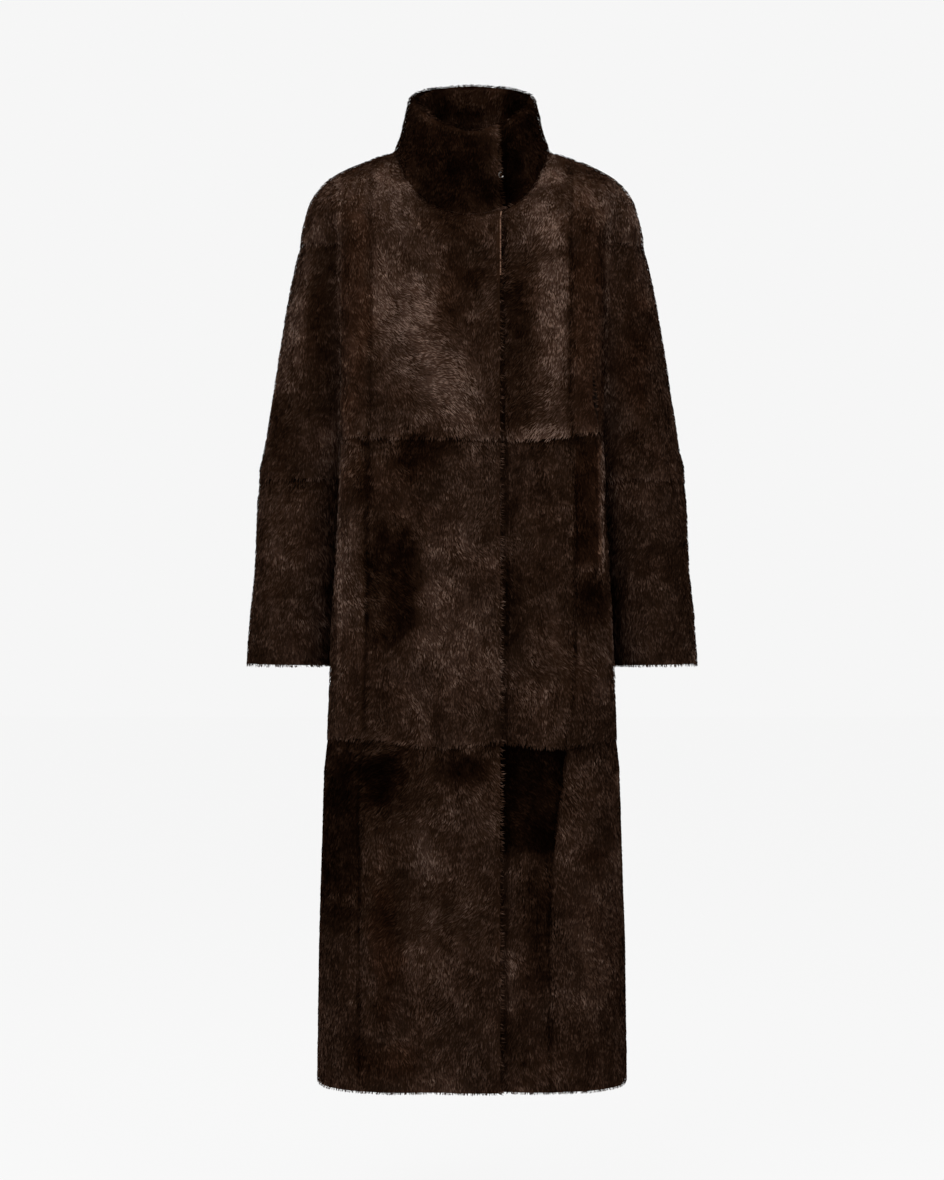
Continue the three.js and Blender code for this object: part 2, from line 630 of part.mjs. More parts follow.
// Armhole line on the wearer's left, from the top of the dropped shoulder to the armpit.
function armholePoint(k, face) {
  if (k <= CAP_COLUMNS) return bodySkin(mix(0.5, AT.back, k / CAP_COLUMNS), face, 1);
  const down = k - CAP_COLUMNS;
  return bodySkin(mix(AT.back, 0.5, down / CAP_COLUMNS), face, levelOf(ARMHOLE[down - 1].z));
}

const SLEEVE_POINTS = CAP_COLUMNS + ARMHOLE.length; // segments round half of the sleeve

// Upper sleeve surface: k along the armhole, s from the armhole to the elbow seam.
function upperSleeve(k, face, s) {
  const turn = (180 * k) / SLEEVE_POINTS;
  const start = armholePoint(k, face);
  const rest = start.clone().sub(sleeveOval(turn, start.z, face));
  const z = mix(start.z, ELBOW_Z, s);
  return sleeveOval(turn, z, face).addScaledVector(rest, 1 - smooth(s / SLEEVE_BLEND));
}

function lowerSleeve(k, face, s) {
  const turn = (180 * k) / SLEEVE_POINTS;
  const end = mix(CUFF.outer, CUFF.inner, (1 - Math.cos(THREE.MathUtils.degToRad(turn))) / 2);
  return sleeveOval(turn, mix(ELBOW_Z, end, s), face);
}

// One half of an upper or lower sleeve, made on the wearer's left and mirrored for the right.
function sleevePiece(name, surface, face, rows, side) {
  const at = (k, s) => {
    if (k < 0) return surface(-k, -face, s);
    if (k > SLEEVE_POINTS) return surface(2 * SLEEVE_POINTS - k, -face, s);
    return surface(k, face, s);
  };
  const normal = (k, s) => {
    const ds = 0.03;
    const along = at(k + 1, s).sub(at(k - 1, s));
    const down = surface(k, face, Math.min(s + ds, 1)).sub(surface(k, face, Math.max(s - ds, 0)));
    return down.cross(along).multiplyScalar(face).normalize();
  };
  const grid = [];
  for (let i = 0; i <= rows; i++) {
    const line = [];
    for (let k = 0; k <= SLEEVE_POINTS; k++) {
      const s = i / rows;
      const p = surface(k, face, s);
      const n = normal(k, s);
      const c = sleeveOval(90, p.z, face).setY(0);
      if (n.dot(p.clone().sub(c)) < 0) n.negate();
      if (i === (surface === upperSleeve ? rows : 0)) n.setZ(0).normalize(); // both sleeve parts alike
      if (surface === upperSleeve && i < EASE_ROWS) {
        const under = clamp((k - CAP_COLUMNS) / EASE_COLUMNS, 0, 1);
        p.addScaledVector(n, (-2 * SEAM_SHIFT - ARMPIT_EASE * under) * (1 - i / EASE_ROWS));
      }
      p.x *= side;
      n.x *= side;
      line.push({ p, n, wall: WALL });
    }
    grid.push((face < 0) === (side > 0) ? line.reverse() : line);
  }
  return clothPiece(name, grid, () => "full", materials.shearling);
}

function sleevePieces() {
  const pieces = [];
  for (const [word, side] of [["right", -1], ["left", 1]]) {
    for (const [half, face] of [["front", -1], ["back", 1]]) {
      pieces.push(sleevePiece(`upper_sleeve_${half}_${word}`, upperSleeve, face, UPPER_SLEEVE_ROWS, side));
      pieces.push(sleevePiece(`lower_sleeve_${half}_${word}`, lowerSleeve, face, LOWER_SLEEVE_ROWS, side));
    }
  }
  return pieces;
}

// How far the collar stands out or lies in at a turn and a height share.
function collarStand(turn, h) {
  const near = (away, fade) => 1 - smooth((away - fade.from) / fade.over);
  const fromRight = COLLAR_END.right - turn;
  const fromLeft = turn + 360 - COLLAR_END.left;
  if (h > 0) {
    return COLLAR_OVER * near(fromRight, COLLAR_FADE.right)
      + COLLAR_UNDER * near(fromLeft, COLLAR_FADE.left);
  }
  // as the front below it, but under the right end where the two cross
  const left = turn < -180;
  const x = loopAt(NECK, left ? turn + 360 : turn).x;
  const further = left ? (COLLAR_UNDER - FRONT.under) * near(fromLeft, COLLAR_FADE.base) : 0;
  return frontStand(x, !left) + further;
}

// Turns of the collar columns, the same as those of the pieces that it is sewn to.
function collarTurns() {
  const c = COLUMNS;
  const stops = [COLLAR_END.right, -90, -270, COLLAR_END.left - 360];
  const counts = [c.neckRight, c.neckBack, c.neckLeft];
  const turns = [stops[0]];
  counts.forEach((count, i) => {
    for (let k = 1; k <= count; k++) turns.push(mix(stops[i], stops[i + 1], k / count));
  });
  return turns;
}

// One layer of the collar, between two depths below its outer face.
function collarLayer(name, outerDepth, innerDepth) {
  const grid = [...COLLAR_ROWS].reverse().map((row) => collarTurns().map((turn) => {
    const wrapped = turn < -180 ? turn + 360 : turn;
    const n = row.h === 0 ? neckMitre(wrapped) : collarNormal(wrapped, row.h);
    const stand = collarStand(turn, row.h) - outerDepth(row.roll);
    const p = collarSkin(wrapped, row.h).addScaledVector(n, stand);
    if (row.h === 0) p.addScaledVector(neckUp(wrapped), NECK_SHIFT);
    return { p, n, wall: innerDepth(row.roll) - outerDepth(row.roll) };
  }).reverse());
  return clothPiece(name, grid, () => "full", materials.collar);
}

function collarPieces() {
  const middle = COLLAR_WALL / 2;
  return [
    collarLayer("collar_outer", (roll) => roll, () => middle - SEAM_SHIFT),
    collarLayer("collar_inner", () => middle + SEAM_SHIFT, (roll) => COLLAR_WALL - roll),
  ];
}

// Bent wire hook at the end of the collar, round in section with flat ends.
function collarHook() {
  const end = collarSkin(COLLAR_END.right, HOOK.height);
  const n = collarNormal(COLLAR_END.right, HOOK.height);
  const along = collarSkin(COLLAR_END.right + 2, HOOK.height).sub(end).normalize();
  const centre = end.clone().addScaledVector(n, COLLAR_OVER - HOOK.sunk)
    .addScaledVector(along, HOOK.across * HOOK.past);
  const up = new THREE.Vector3().crossVectors(n, along).normalize();
  const r = HOOK.across / 2;
  const points = [];
  const rings = HOOK.segments + 1;
  for (let i = 0; i < rings; i++) {
    const a = THREE.MathUtils.degToRad(HOOK.start + (HOOK.sweep * i) / HOOK.segments);
    const radial = along.clone().multiplyScalar(Math.cos(a)).addScaledVector(up, Math.sin(a));
    for (let k = 0; k < HOOK.sides; k++) {
      const b = (2 * Math.PI * k) / HOOK.sides;
      points.push(...centre.clone().addScaledVector(radial, r + HOOK.wire * Math.cos(b))
        .addScaledVector(n, HOOK.wire * Math.sin(b)).toArray());
    }
  }
  const faces = [];
  for (let i = 0; i < rings - 1; i++) {
    for (let k = 0; k < HOOK.sides; k++) {
      const [a, b] = [i * HOOK.sides + k, i * HOOK.sides + ((k + 1) % HOOK.sides)];
      faces.push(a, a + HOOK.sides, b, b, a + HOOK.sides, b + HOOK.sides);
    }
  }
  for (let k = 1; k < HOOK.sides - 1; k++) {
    const e = (rings - 1) * HOOK.sides;
    faces.push(0, k, k + 1, e, e + k + 1, e + k);
  }
  return meshOf("collar_hook", points, faces, materials.hook);
}

const coat = new THREE.Group();
coat.name = "shearling_coat";
for (const piece of [...bodyPieces(), ...sleevePieces(), ...collarPieces(), collarHook()]) coat.add(piece);

export default coat;
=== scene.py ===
"""A long shearling coat with the fur outside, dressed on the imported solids.

Metres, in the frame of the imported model: +Z is up, the front faces -Y and +X is the wearer's left.
Each sewn piece is a thin pelt on its solid's form, and a separate mesh of fur grows on it.
"""
import logging
import math
from dataclasses import dataclass, field
from enum import Enum

import bpy
import numpy as np
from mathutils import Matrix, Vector
from mathutils.bvhtree import BVHTree
from mathutils.kdtree import KDTree


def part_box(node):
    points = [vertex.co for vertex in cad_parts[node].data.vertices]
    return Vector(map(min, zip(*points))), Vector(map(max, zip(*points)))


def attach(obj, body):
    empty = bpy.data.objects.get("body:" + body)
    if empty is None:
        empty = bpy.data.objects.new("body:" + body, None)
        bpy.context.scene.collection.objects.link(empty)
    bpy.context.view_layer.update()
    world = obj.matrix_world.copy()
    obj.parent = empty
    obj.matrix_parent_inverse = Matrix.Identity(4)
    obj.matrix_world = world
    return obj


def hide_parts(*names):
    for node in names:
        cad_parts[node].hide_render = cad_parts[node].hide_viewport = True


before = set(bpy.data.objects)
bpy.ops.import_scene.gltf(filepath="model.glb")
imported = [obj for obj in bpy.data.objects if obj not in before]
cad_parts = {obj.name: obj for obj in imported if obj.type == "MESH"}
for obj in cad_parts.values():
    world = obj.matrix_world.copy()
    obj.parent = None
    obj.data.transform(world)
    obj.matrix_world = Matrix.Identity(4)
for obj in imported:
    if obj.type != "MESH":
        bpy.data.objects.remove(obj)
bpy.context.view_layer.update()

LOG = logging.getLogger("coat")
MM = 0.001
UP = np.array([0.0, 0.0, 1.0])
NECK_MIDDLE = np.array([0.0, -15 * MM]) # x and y
SAME_LENGTH = 0.025 * MM # lengths that differ by less count as one
FRONT_REACH = 20 * MM # patches and swirls lie in front of this y
FRONT_FADE = 40 * MM # depth of the band in which patches fade in


class Slot(Enum):
    """Material slots of the record."""

    BODY = "shearling"
    COLLAR = "collar_shearling"
    HOOK = "hook_metal"


class Side(Enum):
    """Which way the furry face of a piece looks, x and y."""

    FRONT = (0.0, -1.0)
    BACK = (0.0, 1.0)
    RIGHT = (-0.7, -0.7)
    LEFT = (0.7, -0.7)
    OUTWARD = (1.0, 1.0)
    INWARD = (-1.0, -1.0)


def unit(vectors: np.ndarray) -> np.ndarray:
    """Vectors scaled to length one."""
    length = np.linalg.norm(vectors, axis=-1, keepdims=True)
    return vectors / np.maximum(length, 1e-12)


def smooth(t: np.ndarray) -> np.ndarray:
    """A soft step from 0 at 0 to 1 at 1."""
    s = np.clip(t, 0.0, 1.0)
    return s * s * (3 - 2 * s)


def dots(a: np.ndarray, b: np.ndarray) -> np.ndarray:
    """Row by row dot products, as a column."""
    return (a * b).sum(-1, keepdims=True)


def noise(points: np.ndarray, size: float, seed: int) -> np.ndarray:
    """Soft noise from -1 to 1, from seeded values on a cubic lattice.

    Args:
        points: Places, one a row.
        size: Width of a lattice cell, in the units of the places.
        seed: Picks another set of values.

    Returns:
        One value a place.
    """
    scaled = points / size + 37.0 * seed
    cell = np.floor(scaled).astype(np.int64)
    part = scaled - cell
    part = part * part * (3 - 2 * part)
    total = np.zeros(len(points))
    for corner in range(8):
        step = np.array([(corner >> axis) & 1 for axis in range(3)])
        key = (cell + step) @ np.array([73856093, 19349663, 83492791]) + 7919 * seed
        key = (key ^ (key >> 13)) & 0xFFFFFFF
        key = (key * 1103515245 + 12345) & 0x7FFFFFFF
        value = ((key >> 9) & 0xFFFF) / 32767.5 - 1.0
        total += value * np.where(step, part, 1.0 - part).prod(1)
    return total


def picture_plane(points: np.ndarray) -> np.ndarray:
    """Where the camera sees places, as x and z on the upright plane through the origin.

    Args:
        points: Places, one a row.

    Returns:
        Two values a place, in metres.
    """
    scale = Camera.distance / (Camera.distance + points[:, 1])
    x = points[:, 0] * scale
    z = (points[:, 2] - Camera.height) * scale + Camera.height
    return np.stack([x, z], axis=1)


@dataclass(frozen=True)
class Wall:
    """Thicknesses of a kind of wall in millimetres, and the angle of a sharp corner in degrees.

    An even wall is as thick all round its rims, which tells the rims from the faces.
    """

    thick: tuple[float, ...]
    even: bool
    sharp: float

    def misses(self, lengths: np.ndarray) -> np.ndarray:
        """How far each length is from the nearest thickness, in metres."""
        return np.abs(np.asarray(lengths)[:, None] - np.array(self.thick) * MM).min(1)


PELT_WALL = Wall((11.0,), True, 62.0)
COLLAR_LAYER = Wall((9.81, 9.21, 6.81, 2.81), False, 50.0)


@dataclass
class Surface:
    """An open surface of triangles with values at each point.

    They are a normal; the direction out of the wall, which pieces share at a seam; the distance to
    the nearest sewn edge and where that edge lies, from -1 above to 1 below; the distance to the
    nearest free edge and the direction past it.
    """

    points: np.ndarray
    faces: np.ndarray
    normals: np.ndarray
    out: np.ndarray
    edge: np.ndarray = field(default_factory=lambda: np.zeros(0))
    edge_below: np.ndarray = field(default_factory=lambda: np.zeros(0))
    free: np.ndarray = field(default_factory=lambda: np.zeros(0))
    away: np.ndarray = field(default_factory=lambda: np.zeros(0))

    def face_normals(self) -> np.ndarray:
        """Normals of the faces, as long as twice the faces' areas."""
        a, b, c = (self.points[self.faces[:, k]] for k in range(3))
        return np.cross(b - a, c - a)

    def renew_normals(self) -> None:
        """Works the points' normals out of the faces."""
        normals = np.zeros_like(self.points)
        for k in range(3):
            np.add.at(normals, self.faces[:, k], self.face_normals())
        self.normals = unit(normals)

    def border(self) -> np.ndarray:
        """The edges of the surface that only one face has, in that face's direction.

        Returns:
            The two points of each edge.
        """
        _, inverse, counts = edges_of(self.faces)
        pairs = np.concatenate([self.faces[:, [0, 1]], self.faces[:, [1, 2]], self.faces[:, [2, 0]]])
        return pairs[counts[inverse.reshape(-1)] == 1]

    def area(self) -> float:
        """Area in square metres."""
        return float(np.linalg.norm(self.face_normals(), axis=1).sum() / 2)


def welded(points: np.ndarray, faces: np.ndarray) -> tuple[np.ndarray, np.ndarray]:
    """Points merged where they agree to a hundredth of a millimetre, and the faces on them."""
    keys, inverse = np.unique(np.round(points / (0.01 * MM)), axis=0, return_inverse=True)
    return keys * 0.01 * MM, inverse.reshape(-1)[faces]


def tree_of(spots: np.ndarray | list[np.ndarray]) -> KDTree:
    """A search tree of places.

    Args:
        spots: The places; the tree numbers them in this order.

    Returns:
        The balanced tree.
    """
    tree = KDTree(len(spots))
    for index, spot in enumerate(spots):
        tree.insert(spot, index)
    tree.balance()
    return tree


def node_mesh(name: str) -> tuple[np.ndarray, np.ndarray]:
    """A node's merged points and its triangles.

    Args:
        name: The node.

    Returns:
        Places, and the three points of each triangle.
    """
    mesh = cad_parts[name].data
    points = np.empty(len(mesh.vertices) * 3)
    mesh.vertices.foreach_get("co", points)
    mesh.calc_loop_triangles()
    faces = np.empty(len(mesh.loop_triangles) * 3, dtype=np.int32)
    mesh.loop_triangles.foreach_get("vertices", faces)
    return welded(points.reshape(-1, 3), faces.reshape(-1, 3))


def edges_of(faces: np.ndarray) -> tuple[np.ndarray, np.ndarray, np.ndarray]:
    """Each edge once, with the edge of every corner and how many faces meet there."""
    pairs = np.concatenate([faces[:, [0, 1]], faces[:, [1, 2]], faces[:, [2, 0]]])
    return np.unique(np.sort(pairs, axis=1), axis=0, return_inverse=True, return_counts=True)


def furry_face(name: str, side: Side, wall: Wall) -> Surface:
    """The face of a node's wall that carries the fur.

    A face on the wall's rim has an edge that crosses the wall, as long as the wall is thick. The
    walk from face to face stops at those, and at corners that stand out sharply.

    Args:
        name: The node.
        side: Which way the wanted face looks.
        wall: The wall's thicknesses and how its rims are told.

    Returns:
        The face as an open surface, with normals square to the wall.
    """
    points, faces = node_mesh(name)
    edges, inverse, _ = edges_of(faces)
    length = np.linalg.norm(points[edges[:, 0]] - points[edges[:, 1]], axis=1)
    crosses = wall.even & (wall.misses(length) < SAME_LENGTH)
    rim = crosses[inverse.reshape(3, -1)].any(0)
    solid = Surface(points, faces, points, points)
    normals = unit(solid.face_normals())
    owner = np.tile(np.arange(len(faces)), 3)[np.argsort(inverse.reshape(-1), kind="stable")]
    a, b = owner[0::2], owner[1::2]
    centres = points[faces].mean(1)
    stands_out = dots(centres[b] - centres[a], normals[a])[:, 0] < 0
    corner = stands_out & (dots(normals[a], normals[b])[:, 0] < math.cos(math.radians(wall.sharp)))
    open_pairs = ~(rim[a] | rim[b] | corner)
    a, b = a[open_pairs], b[open_pairs]
    label = np.arange(len(faces))
    while True:
        new = label.copy()
        np.minimum.at(new, a, label[b])
        np.minimum.at(new, b, label[a])
        if (new == label).all():
            break
        label = new
    look = np.zeros((len(faces), 3))
    look[:, :2] = side.value
    if side in (Side.OUTWARD, Side.INWARD):
        look[:, :2] *= unit(centres[:, :2] - NECK_MIDDLE)
    score = np.bincount(label, weights=dots(solid.face_normals(), look)[:, 0])
    kept = faces[label == score.argmax()]
    used, places = np.unique(kept, return_inverse=True)
    surface = Surface(points[used], places.reshape(-1, 3), points[used], points[used])
    surface.renew_normals()
    surface.normals = unit(surface.points - wall_partners(surface, np.delete(points, used, axis=0), wall))
    surface.out = surface.normals.copy()
    return surface


def wall_partners(surface: Surface, rest: np.ndarray, wall: Wall) -> np.ndarray:
    """The point of the wall's other face that lies straight behind each point of this one.

    Args:
        surface: The furry face of the piece.
        rest: The solid's other points.
        wall: The wall's thicknesses.

    Returns:
        One place a point.
    """
    tree = tree_of(rest)
    reach = max(wall.thick) * MM + 0.1 * MM
    partners = []
    for point, normal in zip(surface.points, surface.normals):
        near = [rest[index] - point for _, index, _ in tree.find_range(point, reach)]
        if near:
            off = wall.misses(np.linalg.norm(near, axis=1))
            partners.append(point + near[(near @ normal + off * 20).argmin()])
        else: # its partner was merged away when the part was packed
            partners.append(point - normal * wall.thick[0] * MM)
    return np.array(partners)


def refined(surface: Surface, parts: int, bend: float = 0.75) -> Surface:
    """Splits each edge into parts and bends the new points towards the points' tangent planes.

    Args:
        surface: The coarse surface.
        parts: Parts of an edge.
        bend: Share of the way to the tangent planes.

    Returns:
        The finer, rounder surface.
    """
    steps = [(i, j) for i in range(parts + 1) for j in range(parts + 1 - i)]
    place = {step: k for k, step in enumerate(steps)}
    weights = np.array([[parts - i - j, i, j] for i, j in steps]) / parts
    cells = []
    for i, j in steps:
        if i + j < parts:
            cells.append([place[i, j], place[i + 1, j], place[i, j + 1]])
        if i + j < parts - 1:
            cells.append([place[i + 1, j], place[i + 1, j + 1], place[i, j + 1]])
    corners = surface.points[surface.faces]
    normals = surface.normals[surface.faces]
    flat = np.einsum("sk,fkc->fsc", weights, corners)
    bent = np.zeros_like(flat)
    for k in range(3):
        away = dots(flat - corners[:, None, k], normals[:, None, k])
        bent += weights[None, :, k, None] * (flat - away * normals[:, None, k])
    points = (flat + bend * (bent - flat)).reshape(-1, 3)
    offsets = np.arange(len(surface.faces))[:, None, None] * len(steps)
    faces = (np.array(cells)[None] + offsets).reshape(-1, 3)
    between = np.einsum("sk,fkc->fsc", weights, normals).reshape(-1, 3)
    between_out = np.einsum("sk,fkc->fsc", weights, surface.out[surface.faces]).reshape(-1, 3)
    merged, merged_faces = welded(points, faces)
    smoothed, out = np.zeros_like(merged), np.zeros_like(merged)
    np.add.at(smoothed, merged_faces.reshape(-1), between[faces.reshape(-1)])
    np.add.at(out, merged_faces.reshape(-1), between_out[faces.reshape(-1)])
    return Surface(merged, merged_faces, unit(smoothed), unit(out))


def widened(surface: Surface, where: np.ndarray, amount: float) -> None:
    """Moves the border points named in where outwards, within the surface.

    Args:
        surface: The surface, which is changed.
        where: For each point, whether it may move.
        amount: How far, in metres.
    """
    border = surface.border()
    out = np.zeros_like(surface.points)
    along = surface.points[border[:, 1]] - surface.points[border[:, 0]]
    away = unit(np.cross(along, surface.normals[border[:, 0]]))
    for k in range(2):
        np.add.at(out, border[:, k], away)
    surface.points = surface.points + amount * unit(out) * where[:, None]


def nearest_of(spots: list[np.ndarray], points: np.ndarray) -> tuple[np.ndarray, np.ndarray]:
    """Distance from each point to its nearest spot, and which spot that is.

    Args:
        spots: Places to look among.
        points: Places to look from.

    Returns:
        The distances and the spots' numbers.
    """
    tree = tree_of(spots)
    found = [tree.find(point) for point in points]
    return np.array([hit[2] for hit in found]), np.array([hit[1] for hit in found])


class Pattern:
    """The furry faces of all pieces, and which of their edges are sewn to another piece."""

    spot_spacing = 2.5 * MM

    def __init__(self, kinds: list[tuple[Wall, list["Cut"]]]) -> None:
        """Finds the faces, keeps a search tree for every node and joins the normals at the seams.

        Args:
            kinds: Each kind of wall with the pieces that have it.
        """
        self.faces: dict[str, Surface] = {}
        self.trees: dict[str, BVHTree] = {}
        for wall, cuts in kinds:
            for cut in cuts:
                self.faces[cut.node] = furry_face(cut.node, cut.side, wall)
        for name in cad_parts:
            points, faces = node_mesh(name)
            self.trees[name] = BVHTree.FromPolygons(points.tolist(), faces.tolist())
        self.share_normals()

    def share_normals(self, reach: float = 2.2 * MM) -> None:
        """Gives border points of pieces that meet one normal, so that their pelts meet as well.

        Args:
            reach: How far apart two points may be to meet.
        """
        spots, normals, owners = [], [], []
        for name, surface in self.faces.items():
            for index in np.unique(surface.border()):
                spots.append(surface.points[index])
                normals.append(surface.normals[index])
                owners.append((name, index))
        tree = tree_of(spots)
        for spot, normal, (name, index) in zip(spots, normals, owners):
            near = np.array([normals[other] for _, other, _ in tree.find_range(spot, reach)])
            alike = near[near @ normal > 0.0]
            self.faces[name].out[index] = unit(alike.sum(0))

    def sewn(self, name: str, point: np.ndarray, reach: float = 1.6 * MM) -> bool:
        """Whether another node comes within reach of a point of this one.

        Args:
            name: This node.
            point: The point.
            reach: The reach in metres.

        Returns:
            True at a seam, false at a free edge.
        """
        return any(
            tree.find_nearest(point, reach)[0] is not None
            for other, tree in self.trees.items()
            if other != name
        )

    def measure_seams(self, name: str, fine: Surface) -> None:
        """Finds for every fine point how far the nearest sewn and free edges are, and their sides.

        Args:
            name: The node.
            fine: Its refined face, which is given the values.
        """
        coarse = self.faces[name]
        spots: dict[bool, list[np.ndarray]] = {True: [], False: []}
        pasts: dict[bool, list[np.ndarray]] = {True: [], False: []}
        for a, b in coarse.border():
            start, end = coarse.points[a], coarse.points[b]
            sewn = self.sewn(name, start) and self.sewn(name, end)
            number = max(2, int(np.linalg.norm(end - start) / self.spot_spacing))
            past = unit(np.cross(end - start, coarse.normals[a]))
            for k in range(number + 1):
                spots[sewn].append(start + (end - start) * k / number)
                pasts[sewn].append(past)
        fine.edge, nearest = nearest_of(spots[True], fine.points)
        fine.edge_below = -np.array(pasts[True])[nearest][:, 2]
        fine.free = np.ones(len(fine.points))
        fine.away = np.zeros_like(fine.points)
        if spots[False]:
            fine.free, nearest = nearest_of(spots[False], fine.points)
            fine.away = np.array(pasts[False])[nearest]


@dataclass(frozen=True)
class Patch:
    """A soft blot of darker or lighter, redder or greyer fur, seen on the picture plane; some blots are
    painted shadows and highlights, the rest the fur's own uneven tone.

    Sizes are in millimetres: middle x and z, half sizes, and a turn in degrees. Tone is added to
    the fur's lightness, and red to its redness. A node's name keeps it to that piece, and a crisp
    one is a rectangle.
    """

    x: float
    z: float
    wide: float
    high: float
    tone: float
    red: float = 0.0
    turn: float = 0.0
    node: str = ""
    crisp: bool = False

    def weight(self, places: np.ndarray, wander: np.ndarray) -> np.ndarray:
        """How strongly the blot shows at each place; wander makes its outline uneven.

        Args:
            places: x and z on the picture plane, in metres.
            wander: Soft noise at each place.

        Returns:
            From 0 to 1 a place.
        """
        angle = math.radians(self.turn)
        dx = places[:, 0] / MM - self.x
        dz = places[:, 1] / MM - self.z
        across = (dx * math.cos(angle) + dz * math.sin(angle)) / self.wide
        along = (-dx * math.sin(angle) + dz * math.cos(angle)) / self.high
        if self.crisp:
            return 1.0 - smooth((np.maximum(abs(across), abs(along)) + 0.08 * wander - 0.85) / 0.25)
        return 1.0 - smooth((np.hypot(across, along) + 0.45 * wander - 0.45) / 0.95)


@dataclass(frozen=True)
class Swirl:
    """A cowlick: the nap turns round a place of the picture plane, in millimetres and degrees."""

    x: float
    z: float
    radius: float
    turn: float

    def angle(self, places: np.ndarray) -> np.ndarray:
        """Turn of the nap at each place, in radians."""
        away = np.hypot(places[:, 0] / MM - self.x, places[:, 1] / MM - self.z)
        return math.radians(self.turn) * np.exp(-((away / self.radius) ** 2))


@dataclass(frozen=True)
class Crease:
    """A soft trough (or ridge, if depth is negative) from one place to another, in millimetres."""

    x: float
    z: float
    x_end: float
    z_end: float
    half: float
    depth: float
    back: bool = False

    def drop(self, points: np.ndarray) -> np.ndarray:
        """How far it sinks the surface at each point, in metres.

        Args:
            points: Places, one a row.

        Returns:
            One depth a place.
        """
        start = np.array([self.x, self.z]) * MM
        along = np.array([self.x_end, self.z_end]) * MM - start
        spots = points[:, [0, 2]] - start
        share = np.clip(spots @ along / (along @ along), 0.0, 1.0)
        away = np.linalg.norm(spots - share[:, None] * along, axis=1) / (self.half * MM)
        ends = 1.0 - 0.75 * np.abs(2 * share - 1) ** 3
        faces_it = points[:, 1] > 0 if self.back else points[:, 1] <= 0
        return self.depth * MM * np.exp(-(away**2)) * ends * faces_it


@dataclass(frozen=True)
class Pile:
    """How one kind of fur grows. Lengths are in millimetres and angles in degrees."""

    depth: float = 1.8
    length: float = 6.8
    root_lean: float = 60.0
    tip_lean: float = 83.0
    width: float = 1.05
    wander: float = 28.0
    tuft: float = 0.24
    stray: float = 0.09
    rim: float = 3.0
    rim_lift: float = 0.2
    rim_drop: float = 0.0


@dataclass(frozen=True)
class Coloring:
    """Lightness, redness and unevenness of a kind of fur before its patches, and its painted shade and
    highlights.
    """

    tone: float
    red: float = 0.40
    broad: float = 0.06
    blotchy: float = 0.10
    tufted: float = 0.13
    strand: float = 0.13
    # the last four are painted light: sheen by the nap's turn, shade in seams, highlight on the fringe
    # over a seam and along free rims
    nap_sheen: float = 0.13
    seam_shade: float = 0.22
    seam_highlight: float = 0.09
    rim_highlight: float = 0.05


